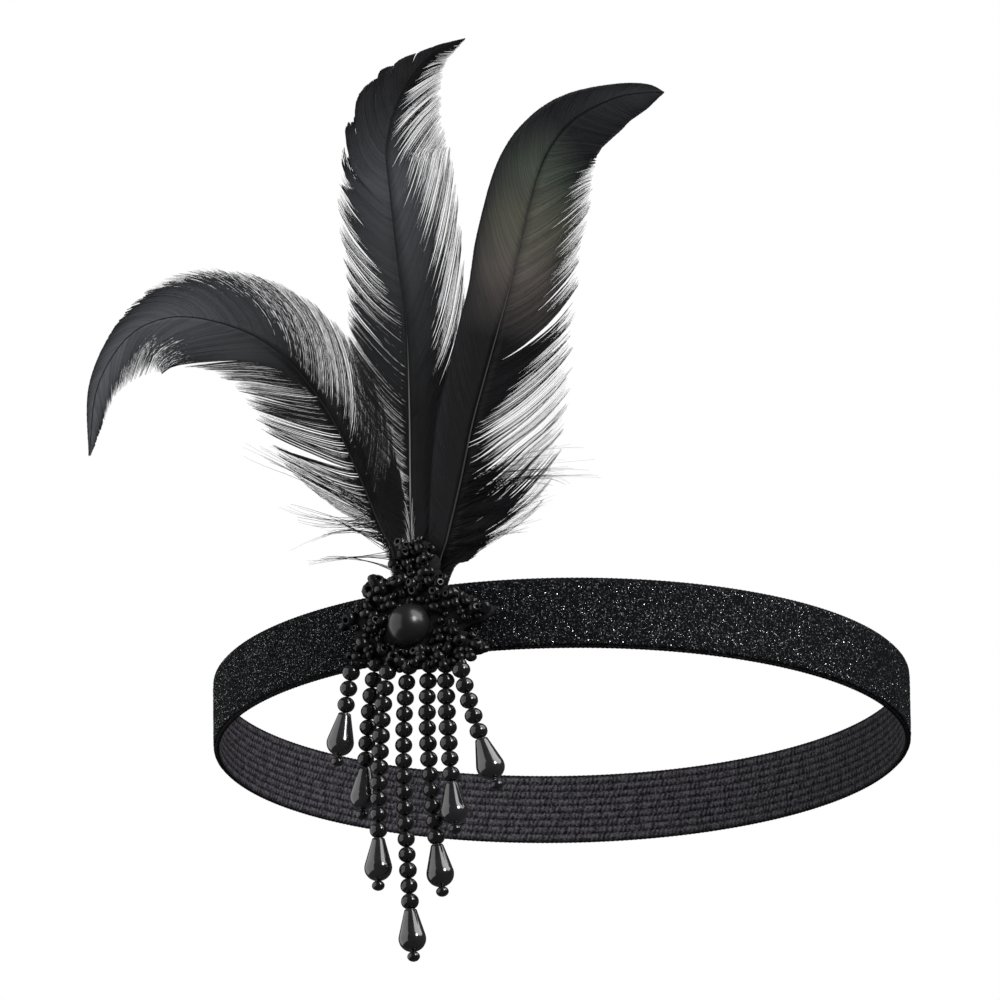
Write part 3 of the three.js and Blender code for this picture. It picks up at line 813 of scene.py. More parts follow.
backing_points, backing_faces = felt_backing()
make_piece("rosette_felt", backing_points, backing_faces, felt, "bead_rosette")
dome_points, dome_faces = cabochon_dome()
make_piece("cabochon_dome", dome_points, dome_faces, cabochon_black, "cabochon")

# %% [markdown]
# ## Petals and seed beads
# Two tables give the lumps: a petal by its angle in degrees and its reach from the cabochon in
# millimetres, and the clump's ellipses by side, up, half width and half height. A third gives the larger
# beads by side, up, radius and how far out they lie. The small beads could be placed one by one as well,
# but the photograph doesn't show them apart, so a jittered grid of them fills the lumps.

# %% Padding of the rosette
PETAL_START = 5.5 * MM
PETAL_HALF_WIDTH = 2.7 * MM
PAD_OUT = 3.0 * MM
PAD_HALF_THICKNESS = 1.6 * MM
PAD_SIDES = 24
PAD_RINGS = 9
PETALS = [(8, 19.2), (42, 13), (106, 13.5), (130, 17), (165, 18.6), (197, 16.4), (337, 18.6)]
CLUMP = [(1.4, 9, 6.3, 4), (-0.6, 13.5, 3.6, 3.2), (3.2, 12.6, 3.8, 3.2), (1, 16.2, 4.4, 2.8),
         (-8.2, 8.2, 3.2, 3.2), (3, -9.2, 11.5, 3.2)]


def joined(parts):
    """Several sets of points and faces as one, with each set's faces counted on from the points before."""
    counts = np.cumsum([0] + [len(points) for points, _ in parts])
    face_sets = [faces + count for count, (_, sets) in zip(counts, parts) for faces in sets]
    return np.vstack([points for points, _ in parts]), face_sets


def lumps():
    """The rosette's ellipses, as middle side and up, half length and half width, and the angle of the
    length: the petals point away from the cabochon, and the clump lies over the quills."""
    petals = np.array(PETALS)
    angle = np.radians(petals[:, 0])
    reach = petals[:, 1] * MM
    middle = (PETAL_START + reach) / 2
    side = CABOCHON_SIDE + middle * np.cos(angle)
    up = CABOCHON_UP + middle * np.sin(angle)
    width = np.full(len(reach), PETAL_HALF_WIDTH)
    clump = np.column_stack([np.array(CLUMP) * MM, np.zeros(len(CLUMP))])
    return np.vstack([np.column_stack([side, up, (reach - PETAL_START) / 2, width, angle]), clump])


def lump_pad(lump):
    """A felt pad under a lump: an ellipsoid, whose rings are its ellipse times the cosine of a latitude."""
    middle_side, middle_up, length, width, turn = lump
    around = circle(PAD_SIDES)[None, :]
    latitude = np.linspace(-np.pi / 2, np.pi / 2, PAD_RINGS + 2)[1:-1, None]
    ahead = length * np.cos(latitude) * np.cos(around)
    aside = width * np.cos(latitude) * np.sin(around)
    side = middle_side + ahead * np.cos(turn) - aside * np.sin(turn)
    up = middle_up + ahead * np.sin(turn) + aside * np.cos(turn)
    out = np.broadcast_to(PAD_OUT + PAD_HALF_THICKNESS * np.sin(latitude), side.shape)
    return capped_rings(wrap(np.stack([side, out, up], axis=-1)))


pad_points, pad_faces = joined([lump_pad(lump) for lump in lumps()])
make_piece("rosette_pads", pad_points, pad_faces, felt, "bead_rosette")

# %% Seed beads of the rosette
PETAL_OUT = 4.7 * MM
PETAL_HALF_THICKNESS = 1.7 * MM
SEED_RADIUS = 1.3 * MM
SEED_SIZES = (0.6, 1.3)
SEED_PITCH = 2.2 * MM
SEED_COLUMNS = (-14, 15)
SEED_ROWS = (-9, 16)
ROW_RISE = 0.87
FELT_FILL = 0.9
CABOCHON_CLEARANCE = 0.9 * SEED_RADIUS
SEED_JITTER = 0.24 * SEED_PITCH
SEED_TURN = (1, 0.8, 1)
SEED_CLEARANCE = 1.1 * MM
LARGE_BEADS = [
    (-14.7, 1.8, 1.7, 5.8), (-10.4, 2.3, 1.4, 5.8), (-8.8, -1.5, 1.3, 5.8), (-11, -4.6, 1.8, 5.8),
    (-6, -7, 1.5, 5.8), (-12.9, -7.4, 1.4, 5.2), (-2.6, 8.7, 1.5, 6), (-9.4, 8, 2.2, 4.8),
    (-7.8, 9.7, 2.1, 4.8), (-6.9, 5.3, 1.4, 5.8), (-9.8, 4.2, 1.4, 5.2), (-2, 18.4, 1.5, 5),
    (-0.9, 15.3, 1.5, 5.6), (-2.3, 11.8, 1.4, 5.6), (2.9, 16.2, 1.5, 5.4), (5.3, 15.8, 1.3, 4.8),
    (3.5, 13.1, 1.4, 5.8), (4, 9.9, 1.5, 6), (5.1, 7.8, 1.3, 6), (6.2, 5.3, 1.3, 5.8), (1, 7.9, 1.4, 6),
    (9.1, 1.7, 1.3, 5.8), (11.2, 2, 1.4, 5.6), (13.3, 2.2, 1.3, 5.2), (15.3, 0.2, 1.4, 5.8),
    (17.4, 0.3, 1.6, 5.4), (10.3, -2.8, 1.3, 5.8), (10.8, -5, 1.4, 6), (11.9, -7.3, 1.6, 5.8),
    (15.5, -8.2, 1.5, 5.4), (11.6, -9.9, 1.5, 5.4), (9, -9, 1.4, 5.8), (-3.6, -8.9, 1.4, 5.6),
    (-1, -8.4, 1.2, 5), (1.4, -8.6, 1.3, 5.4), (4.2, -8.4, 1.3, 5.2), (6.6, -8.8, 1.3, 5.4),
    (-4.9, -9.4, 1.1, 4.7), (-0.3, -8.6, 1.1, 3.6), (4.7, -9, 1.1, 3.6), (8.5, -9.6, 1.2, 4.7),
    (12, -11.4, 1.3, 6), (17.2, -9.4, 1.3, 4.9), (13.9, -9.6, 1.2, 5.2), (7.3, 7.2, 1.4, 5.4),
    (9.2, 4.3, 1.3, 5.4), (-6.2, 7.2, 1.6, 6.2), (0.1, -11.8, 1.5, 5.6), (1.7, -11.4, 1.2, 6.2),
    (4.6, -12.7, 1.5, 5.8), (6.2, -12.2, 1.3, 6.2), (8.5, -13, 1.4, 6.4), (10.2, -12.6, 1.3, 6.2),
    (3.1, -10.8, 1.4, 6), (-1.9, -10.4, 1.5, 5.8), (14.3, -11.4, 1.4, 5.6), (7.4, -10.6, 1.5, 6),
    (12.6, -13, 1.2, 6.2),
]


def random_threading(count):
    """Random directions for the beads' holes, a little less often straight out of the rosette."""
    return unit(random.normal(size=(count, 3)) * SEED_TURN)


def massed_beads():
    """A jittered triangular grid of beads, kept inside the lumps and the felt but clear of the cabochon,
    and raised over the lumps like a dome."""
    across, along = np.meshgrid(np.arange(*SEED_COLUMNS), np.arange(*SEED_ROWS))
    side = (across + 0.5 * (along % 2)).ravel() * SEED_PITCH
    up = (along * ROW_RISE).ravel() * SEED_PITCH
    jitter = random.normal(0, SEED_JITTER, (2, side.size))
    side, up = side + jitter[0], up + jitter[1]
    middle_side, middle_up, length, width, angle = lumps().T[:, :, None]
    ahead = (side - middle_side) * np.cos(angle) + (up - middle_up) * np.sin(angle)
    aside = (up - middle_up) * np.cos(angle) - (side - middle_side) * np.sin(angle)
    away = ((ahead / length) ** 2 + (aside / width) ** 2).min(0)
    out = PETAL_OUT - SEED_RADIUS + PETAL_HALF_THICKNESS * np.sqrt(np.clip(1 - away, 0, 1))
    from_cabochon = np.hypot(side - CABOCHON_SIDE, up - CABOCHON_UP)
    felt_side = (side - BACKING_SIDE) / BACKING_HALF_WIDTH
    felt_up = (up - BACKING_UP) / BACKING_HALF_HEIGHT
    inside = (away < 1) | (felt_side**2 + felt_up**2 < FELT_FILL)
    inside = inside & (from_cabochon > CABOCHON_RADIUS + CABOCHON_CLEARANCE)
    threaded = random_threading(side.size)
    return np.stack([side, out, up], axis=-1)[inside], threaded[inside]


def bead_mass(places, threaded, radii):
    """Copies of a seed bead: each is set on its own thread direction and two directions across it."""
    shape, faces = turned(bead_profile(radius=1.0, half_length=0.72, hole=0.4, steps=6), sides=10)
    helper = unit(random.normal(size=places.shape))
    first = unit(np.cross(threaded, helper))
    axes = np.stack([first, np.cross(threaded, first), threaded], axis=1) * radii[:, None, None]
    return wrap(places[:, None] + shape @ axes), repeat_faces(faces, len(places), len(shape))


large_side, large_up, large_radii, large_out = np.array(LARGE_BEADS).T * MM
large_places = np.stack([large_side, large_out, large_up], axis=-1)
small_places, small_threaded = massed_beads()
gaps = np.linalg.norm((small_places[:, None] - large_places[None])[..., ::2], axis=-1).min(1)
kept = gaps > SEED_CLEARANCE
seed_places = np.concatenate([small_places[kept], large_places])
seed_threaded = np.concatenate([small_threaded[kept], random_threading(len(large_places))])
seed_radii = np.concatenate([SEED_RADIUS * random.uniform(*SEED_SIZES, kept.sum()), large_radii])
seed_points, seed_faces = bead_mass(seed_places, seed_threaded, seed_radii)
make_piece("rosette_beads", seed_points, [seed_faces], seed_black, "bead_rosette")
print(f"{len(seed_places)} seed beads on the rosette")

# %% [markdown]
# ## Feathers
# A feather is a tapered shaft with thousands of barbs. Near the shaft and at the tip the barbs hook into
# each other as a closed black vane, and further out they come apart in streaks and locks that let the
# light through. Cards with a painted edge would look flat from the side, so every barb is a fine
# three-sided tube. Its root and tip are given on the vane's own coordinates, along the shaft and across
# it, so the tips follow the solid's outline whatever way the barb sweeps.
#
# A table gives each feather's shaft in millimetres, and for either hand of it the vane's width and three
# numbers: closed is the share of a barb that stays hooked, where less than 0 is loose from the root on,
# gather is how much the locks are drawn together, and air is how much light comes through. A parting has
# a hand, a place along the shaft, a span, an opening and the power by which it grows along the barbs. A
# row of hairs has a root on the shaft, a middle point, a tip, a spread and a number of hairs.

# %% Feather tables
STATION_COLUMNS = ("side", "up", "left", "left_closed", "left_gather", "left_air",
                   "right", "right_closed", "right_gather", "right_air")
MILLIMETRE_COLUMNS = [STATION_COLUMNS.index(name) for name in ("side", "up", "left", "right")]
LEFT_STATIONS = [
    (-3.5, -3, 0, 0.9, 0.3, 0.02, 0, 0.9, 0, 0.02),
    (-5.5, 16, 1.6, 0.2, 0.5, 0.3, 4, 0.95, 0, 0.02),
    (-9.5, 25, 3.2, -0.1, 0.5, 0.3, 7, 0.95, 0.1, 0.03),
    (-16, 40, 11, -0.6, 0.35, 0.28, 10, 0.6, 0.2, 0.08),
    (-23, 54, 16, -0.6, 0.45, 0.27, 12.5, -0.2, 0.2, 0.05),
    (-32, 67, 15, -0.6, 0.55, 0.2, 14, -0.2, 0.2, 0.06),
    (-42, 77, 13, -0.5, 0.5, 0.13, 14, -0.15, 0.2, 0.25),
    (-55, 84, 12, -0.1, 0.2, 0.07, 14, -0.35, 0.2, 0.125),
    (-67.5, 87, 13, 0.3, 0.1, 0.06, 12.2, 0.2, 0.1, 0.05),
    (-78, 83.5, 13.6, 0.25, 0.1, 0.08, 5.6, 0.9, 0, 0.02),
    (-85, 71.5, 6.2, 0.2, 0.1, 0.16, 2.6, 1, 0, 0),
    (-86, 53.8, 0.2, 0.9, 0, 0.05, 0.2, 1, 0, 0),
]
MIDDLE_STATIONS = [
    (-1, -3, 0, 0.9, 0, 0.02, 0, 0.9, 0, 0.02),
    (-1, 14, 4, 0.6, 0.2, 0.05, 4, 0.95, 0, 0.02),
    (-1, 35, 10, -0.6, 0.3, 0.15, 10, 1, 0.2, 0),
    (-1, 53, 14.6, -0.5, 0.2, 0.16, 13, 1, 0.2, 0.02),
    (-1.5, 72, 16, -0.5, 0.25, 0.07, 14.5, 0.45, 0.2, 0.34),
    (-3.5, 89, 14.5, -0.5, 0.35, 0.04, 16, 0.05, 0.2, 0.42),
    (-5.5, 108, 14.5, 0.25, 0.5, 0.32, 16, 0.15, 0.2, 0.43),
    (-6, 118, 12.5, 0.85, 0.7, 0.12, 15, 0.15, 0.1, 0.38),
    (-2.5, 129, 10.5, 1, 0.8, 0, 11.5, 0.05, 0.1, 0.37),
    (5, 138, 2.5, 1, 0.4, 0, 5.8, -0.1, 0, 0.36),
    (14.5, 141, 0.1, 1, 0, 0, 0.1, 0.2, 0, 0.1),
]
RIGHT_STATIONS = [
    (5, -3, 0, 1, 0, 0, 0, 1, 0, 0),
    (6.2, 12, 3, 1, 0, 0, 3.5, 1, 0.2, 0.05),
    (8.5, 18.5, 5, 1, 0, 0, 9, 0.5, 0.2, 0.35),
    (12.5, 31, 8, 1, 0, 0, 20, -0.1, 0.4, 0.74),
    (14.7, 38.5, 9, 1, 0, 0, 22, 0.15, 0.4, 0.83),
    (17, 46, 10, 1, 0, 0, 22.5, 0.3, 0.4, 0.86),
    (22, 59, 10.5, 1, 0, 0, 20.5, -0.1, 0.4, 0.7),
    (25, 66.5, 10.8, 1, 0, 0, 18.8, -0.15, 0.4, 0.46),
    (28, 74, 11, 1, 0, 0, 17, 0.35, 0.5, 0.22),
    (32, 85, 12, 1, 0, 0, 15, 0.35, 0.3, 0.32),
    (37.5, 99, 11.5, 1, 0, 0, 14, 0.28, 0.2, 0.2),
    (42.5, 106.5, 9.5, 1, 0, 0, 12, 0.3, 0.1, 0.22),
    (49, 111.5, 6.5, 1, 0, 0, 9.5, 1, 0.1, 0.03),
    (59, 114.5, 3.4, 1, 0, 0, 6.8, 1, 0, 0),
    (67, 114.6, 2, 1, 0, 0, 3.4, 1, 0, 0),
    (71.4, 114, 0.1, 1, 0, 0, 0.1, 1, 0, 0),
]
LEFT_PARTINGS = [("left", 0.437, 0.05, 0.02, 1.5), ("left", 0.7, 0.06, 0.01, 3)]
MIDDLE_PARTINGS = [("left", 0.645, 0.04, 0.004, 1.5)]
RIGHT_PARTINGS = [("right", 0.572, 0.05, 0.012, 1.5)]
LEFT_HAIRS = [
    (0.12, -16.9, 18.1, -27.6, 18.4, 0.4, 12), (0.14, -18, 25, -31, 22.3, 0.3, 10),
    (0.19, -21.5, 27.5, -34, 32, 1.2, 14), (0.13, -15.9, 24.8, -23.2, 29.9, 0.15, 8),
    (0.17, -15, 26, -24, 27, 1, 14), (0.2, -28, 40, -42.5, 49.5, 1.6, 16),
]
MIDDLE_HAIRS = [(0.1, -4, 20, -9, 27, 1, 12), (0.1, 3, 20, 7, 27, 1, 12)]
RIGHT_HAIRS = [
    (0.24, 26.5, 33.6, 43, 32.4, 1.5, 13), (0.22, 26.5, 31.2, 44.5, 29.8, 1.5, 13),
    (0.2, 28, 30, 38.7, 27.3, 1.4, 11), (0.18, 23, 24.4, 34.3, 25.6, 1.1, 11),
    (0.15, 21, 20.5, 34, 24.1, 0.9, 10), (0.13, 18.8, 17.7, 31, 19.8, 0.6, 10),
    (0.12, 17.5, 16.8, 28.4, 18, 0.5, 8),
]
DOWN_TUFTS = 9
DOWN_HAIRS = [
    (0.1 + 0.009 * tuft, -1 + 0.8 * hand, 17 + 1.35 * tuft, -1 + 1.2 * hand, 18.6 + 1.35 * tuft, 0.3, 2)
    for tuft in range(DOWN_TUFTS) for hand in (-1, 1)
]
print(f"{len(LEFT_STATIONS)}, {len(MIDDLE_STATIONS)} and {len(RIGHT_STATIONS)} stations")

# %% [markdown]
# ## The shaft as a coordinate system
# A shaft could be a Bezier curve object, but the barbs need its points, directions and widths at
# thousands of places at once. So the table's rows are joined by a smooth cubic, and any column can then
# be read at any share of the length.

# %% Shafts
QUILL_OUT = 1.2 * MM
LEAN_FROM = 9 * MM
LEAN_REACH = 200 * MM
VANE_FOLD = 0.12
STEPS_PER_STATION = 40
SHAFT_RINGS = 140
SHAFT_SIDES = 8
SHAFT_PROUD = 0.1 * MM


def smooth_rows(rows, steps):
    """A Catmull-Rom curve through every row of a table: between two rows each column follows the cubic
    whose slope at a row is half the difference of the rows on either side."""
    rows = np.asarray(rows, float)
    ends = np.vstack([2 * rows[0] - rows[1], rows, 2 * rows[-1] - rows[-2]])
    before, start, end, after = ends[:-3], ends[1:-2], ends[2:-1], ends[3:]
    t = np.linspace(0, 1, steps, endpoint=False)[:, None, None]
    square = (2 * before - 5 * start + 4 * end - after) * t**2
    cube = (3 * start - before - 3 * end + after) * t**3
    curve = 0.5 * (2 * start + (end - before) * t + square + cube)
    return np.vstack([curve.transpose(1, 0, 2).reshape(-1, rows.shape[1]), rows[-1:]])


class Shaft:
    """A feather's midrib, with the columns of its stations carried along its length."""

    def __init__(self, stations, partings, lean):
        table = smooth_rows(stations, STEPS_PER_STATION)
        table[:, MILLIMETRE_COLUMNS] *= MM
        self.partings = partings
        self.columns = dict(zip(STATION_COLUMNS, table.T))
        ahead = unit(np.gradient(table[:, :2], axis=0))
        self.columns["ahead_side"], self.columns["ahead_up"] = ahead.T
        steps = np.linalg.norm(np.diff(table[:, :2], axis=0), axis=1)
        travelled = np.concatenate([[0], np.cumsum(steps)])
        self.length = travelled[-1]
        self.shares = travelled / self.length
        self.slope = math.tan(math.radians(lean))

    def at(self, column, share):
        """A column's value at a share of the shaft's length."""
        return np.interp(share, self.shares, self.columns[column])

    def depth(self, up, across, proud):
        """Out from the loop: the lean bends forward with height, and the vane folds back from the shaft."""
        rise = np.maximum(0, up - LEAN_FROM)
        bend = self.slope * rise * (0.5 + rise / LEAN_REACH)
        return QUILL_OUT + bend - VANE_FOLD * np.abs(across) + proud

    def surface(self, share, across, proud):
        """The point across the shaft at a share of its length: shaft point plus across times normal."""
        side = self.at("side", share) + across * self.at("ahead_up", share)
        up = self.at("up", share) - across * self.at("ahead_side", share)
        return np.stack([side, -(BAND_RADIUS + self.depth(up, across, proud)), up], axis=-1)


def shaft_tube(shaft, thick, thin):
    """A round tube along the shaft whose radius falls from the quill to the tip, a little proud in front."""
    share = np.linspace(0, 1, SHAFT_RINGS)[:, None]
    angle = circle(SHAFT_SIDES)[None, :]
    radius = thin + (thick - thin) * (1 - share) ** 1.5
    proud = radius * np.sin(angle) + SHAFT_PROUD
    points, faces = capped_rings(shaft.surface(share, radius * np.cos(angle), proud))
    return points, faces, np.concatenate([np.repeat(share, SHAFT_SIDES), [0, 1]])


print(f"a shaft is read from {STEPS_PER_STATION} steps between stations")

# %% [markdown]
# ## Barbs
# Real barbs cling together by tiny hooks. So the row of barbs is first cut into locks, some millimetres
# wide, and into streaks, some tenths of a millimetre wide, and what happens to one barb of a group happens
# to all. Where the vane is open, the barbs of a streak are drawn to its middle, which leaves bright gaps,
# and single free barbs stay in the gaps as a grey veil. A hair system could make as many strands, but not
# groups that part where the photograph has its partings.

# %% Groups of barbs
BARB_RINGS = 9
BARBS_PER_SIDE = 1850
BARB_RIDGE = 0.4
VANE_START = 0.06
LOWEST_ROOT = 0.04
LOCK_WIDTHS = (2.2 * MM, 5.5 * MM)
STREAK_WIDTHS = (0.1 * MM, 0.5 * MM)
SCALLOP = 0.2
STRAY = 0.08
NEIGHBOURS = 25
HOOKED_RANGE = (0.85, 1)
LOOSE_RANGE = (0.16, 0.42)
FOOT_RANGE = (0.08, 0.4)
SWEEP_RANGE = (0.5, 0.85)
STREAK_JITTER, LOCK_JITTER, BARB_JITTER = 0.2, 0.1, 0.2
STREAK_WEAR, BARB_WEAR = 0.12, 0.22


def smoothstep(low, high, value):
    """0 below low and 1 above high, with a smooth S between."""
    share = np.clip((value - low) / (high - low), 0, 1)
    return share * share * (3 - 2 * share)


def grouped(tips, scale, length, sizes):
    """Cuts the row of barbs into groups of random size times a scale, and gives each barb its group's
    number, the mean tip of that group and the group's span, as shares of the shaft's length."""
    spans = sizes[0] + (sizes[1] - sizes[0]) * random.random(int(3 * length / sizes[0])) ** 2
    number = np.searchsorted(np.cumsum(spans) / length, np.cumsum(1 / scale) / len(tips))
    counts = np.maximum(np.bincount(number), 1)
    middle = np.bincount(number, tips) / counts
    return number, middle[number], counts[number] / len(tips)


def barb_row(shaft, name, slope, sweep):
    """What each barb on one hand of the shaft is like, as columns of an array. Its tip lies on the outline
    at a share of the length, and its root lies lower by its slant times the width. Ajar is 0 where the
    vane is wholly closed, airy is the air's square root, loose is 1 near the foot, and cut is the share of
    the barb that is left after wear."""
    count = BARBS_PER_SIDE
    tip = VANE_START + (1 - VANE_START) * (np.arange(count) + random.random(count)) / count
    width = np.maximum(shaft.at(name, tip), 0)
    crowded = shaft.length / math.hypot(1, slope)
    airy = np.sqrt(np.clip(shaft.at(f"{name}_air", tip), 0, 1))
    lock, lock_middle, lock_span = grouped(tip, np.ones(count), crowded, LOCK_WIDTHS)
    streak, streak_middle, _ = grouped(tip, 0.35 + 2 * airy, crowded, STREAK_WIDTHS)
    streak_luck = random.random((4, streak.max() + 1))[:, streak]
    streak_tone, streak_open, streak_pull, streak_cut = streak_luck
    lock_open, lock_part = random.random((2, lock.max() + 1))[:, lock]
    closed = shaft.at(f"{name}_closed", tip)
    gather = shaft.at(f"{name}_gather", tip)
    ajar = 1 - smoothstep(*HOOKED_RANGE, closed)
    jitter = STREAK_JITTER * (streak_open - 0.5) + LOCK_JITTER * (lock_open - 0.5)
    jitter = jitter + BARB_JITTER * (random.random(count) - 0.5)
    loose = 1 - smoothstep(*LOOSE_RANGE, tip)
    slant = slope * (0.3 + 0.7 * smoothstep(*FOOT_RANGE, tip))
    slant = slant * (1 + sweep * smoothstep(*SWEEP_RANGE, tip))
    slant = slant + random.normal(0, STRAY, count) * loose * (0.2 + 0.8 * ajar)
    scallop = SCALLOP * gather * ((tip - lock_middle) / (0.5 * lock_span)) ** 2
    wear = STREAK_WEAR * streak_cut**2 + BARB_WEAR * random.random(count) ** 2
    values = {
        "tip": tip, "root": np.clip(tip - slant * width / shaft.length, LOWEST_ROOT, 1),
        "reach": width * (1 - scallop), "cut": 1 - wear * (0.06 + 0.94 * ajar) * (0.5 + gather),
        "closed": closed + jitter * ajar, "airy": airy * (0.8 + 0.4 * lock_open),
        "ajar": ajar, "gather": gather, "loose": loose,
        "lock": lock, "lock_middle": lock_middle, "lock_part": lock_part,
        "streak_middle": streak_middle, "streak_pull": streak_pull, "streak_tone": streak_tone,
    }
    return SimpleNamespace(**{title: array[:, None] for title, array in values.items()})


def spacing_of(paths):
    """How far apart neighbouring barbs lie, square to the barbs, averaged over some dozens of them."""
    padded = np.pad(paths, ((NEIGHBOURS, NEIGHBOURS), (0, 0), (0, 0)), mode="edge")
    step = (padded[2 * NEIGHBOURS:] - padded[:-2 * NEIGHBOURS]) / (2 * NEIGHBOURS)
    along = unit(np.gradient(paths, axis=1) + 1e-9)
    return np.linalg.norm(np.cross(along, step), axis=-1)


def tubes(paths, widths):
    """Three-sided tubes along paths: each ring has a corner to either side in the vane, half the width
    away, and a ridge in front of it."""
    along = unit(np.gradient(paths, axis=1))
    aside = unit(np.cross(along, [0.0, -1.0, 0.0]))
    front = np.cross(aside, along)
    half_width = widths[..., None] / 2
    corners = [paths + aside * half_width, paths - aside * half_width]
    corners.append(paths + front * widths[..., None] * BARB_RIDGE)
    rings = np.stack(corners, axis=2)
    count, length = paths.shape[:2]
    sides = repeat_faces(face_grid(length, 3, close_columns=True), count, 3 * length)
    ends = np.array([[2, 1, 0], 3 * (length - 1) + np.arange(3)])
    return rings.reshape(-1, 3), [sides, repeat_faces(ends, count, 3 * length)]


print(f"{2 * BARBS_PER_SIDE} barbs for each feather, with {BARB_RINGS} rings each")

# %% Vanes
CLOSED_COVER = 2.4
CLOSED_WIDTH = 0.23 * MM
STREAK_COVER = 1.4
TIP_WIDTH = 0.03 * MM
ROOT_WIDTH = 0.06 * MM
FREE_SHARE = 0.62
OPENING = 0.5
DRAWING = 1.15
MOST_DRAWN = 0.88
LOCK_LIFT = 0.45 * MM
BARB_LIFT = 0.05 * MM
BARB_WIDTHS = (0.75, 1.25)
LOCK_DRAWING = 0.7
ROOT_CURVE = 1.2
REACH_CURVE = 1.25


def parted(shaft, name, tip, way):
    """How far partings push barbs along the shaft: most for the nearest ones, and growing along a barb."""
    shift = np.zeros(way.shape)
    for side, place, span, opening, growth in shaft.partings:
        if side == name:
            near = np.clip(1 - np.abs(tip - place) / span, 0, 1)
            shift = shift + opening * np.sign(tip - place) * near * way**growth
    return shift


def barb_widths(row, way, opened, drawn, free, free_share, spacing):
    """A closed barb is wide enough to overlap its neighbours. An open one has a share of the spacing that
    keeps the vane's tone, whether it is drawn into a streak or free, and runs out to a fine tip."""
    streak_cover = STREAK_COVER * (1 - drawn) / (1 - free_share)
    free_cover = np.maximum(1 - row.airy / DRAWING, 0.2) / free_share
    open_cover = streak_cover + (free_cover - streak_cover) * free
    closed_width = np.maximum(CLOSED_COVER * spacing, CLOSED_WIDTH)
    widths = closed_width + (open_cover * spacing - closed_width) * opened
    widths = widths * random.uniform(*BARB_WIDTHS, row.tip.shape)
    widths = TIP_WIDTH + (widths - TIP_WIDTH) * (1 - opened * smoothstep(0.75, 1, way))
    return widths + ROOT_WIDTH * (1 - smoothstep(0, 0.1, way))


def barb_values(along, way, tone):
    """What the finish reads at each ring: share along the shaft, share along the barb, and a tone."""
    return {"along": along, "reach": way, "tone": np.broadcast_to(tone, way.shape)}


def vane_side(shaft, hand, slope, sweep):
    """Barbs on one hand of the shaft. Beyond its closed share a barb is drawn towards the middle of its
    streak, the more so the more air the vane has, unless it is a free one. Whole locks are drawn together
    too, partings push barbs aside, and each lock and barb stands a little proud or sunk."""
    name = "left" if hand < 0 else "right"
    row = barb_row(shaft, name, slope, sweep)
    each = row.tip.shape
    way = np.linspace(0, 1, BARB_RINGS)[None, :] * row.cut
    opened = smoothstep(0, OPENING, way - row.closed)
    free_share = FREE_SHARE * (1 - np.minimum(row.airy, 0.9) ** 2)
    free = random.random(each) < free_share
    drawn = np.minimum(DRAWING * row.airy * (0.5 + row.streak_pull), MOST_DRAWN) * opened
    drawn = drawn * (0.7 + 0.3 * smoothstep(0, 0.35, way))
    lock_pull = LOCK_DRAWING * row.gather * (0.35 + 0.65 * row.ajar) * row.lock_part
    lock_pull = lock_pull * smoothstep(0.6 - 0.35 * row.ajar, 1, way)
    share = row.root + (row.tip - row.root) * way**ROOT_CURVE + parted(shaft, name, row.tip, way)
    across = row.reach * (1 - (1 - way) ** REACH_CURVE)
    spacing = spacing_of(shaft.surface(np.clip(share, 0, 1), hand * across, 0))
    share = share + (row.streak_middle - row.tip) * drawn * (1 - free)
    share = share + (row.lock_middle - row.tip) * lock_pull
    wave = random.uniform(0, 2 * np.pi, each) + way * random.uniform(2, 7, each)
    across = across + (0.05 + 0.35 * row.loose) * MM * np.sin(wave) * way * opened
    lift = random.normal(0, LOCK_LIFT, row.lock.max() + 1)[row.lock] * (0.15 + row.gather)
    proud = lift * way**2 + random.normal(0, BARB_LIFT, each) * way
    paths = shaft.surface(np.clip(share, 0, 1), hand * np.maximum(across, 0), proud)
    widths = barb_widths(row, way, opened, drawn, free, free_share, spacing)
    tone = 0.7 * row.streak_tone + 0.3 * random.random(each)
    return paths, widths, barb_values(share, way, tone)


print(f"closed barbs are at least {CLOSED_WIDTH / MM:.2f} mm wide")

# %% [markdown]
# ## Loose hairs and down
# Near the foot some barbs are long soft hairs that leave the vane in thin bundles, and the middle feather
# keeps a little pale down on its shaft. They could be curve objects, but the barbs' own tubes serve them
# too, so they only need paths, widths and tones.

# %% Hairs
HAIR_WIDTH = 0.15 * MM
HAIR_TREMBLE = 0.35 * MM
HAIR_DEPTH = 0.6 * MM
HAIR_ROOT_SPREAD = 0.012
LOWEST_HAIR = 0.03
HAIR_LENGTHS = (0.6, 1.05)
HAIR_WIDTHS = (0.7, 1.3)


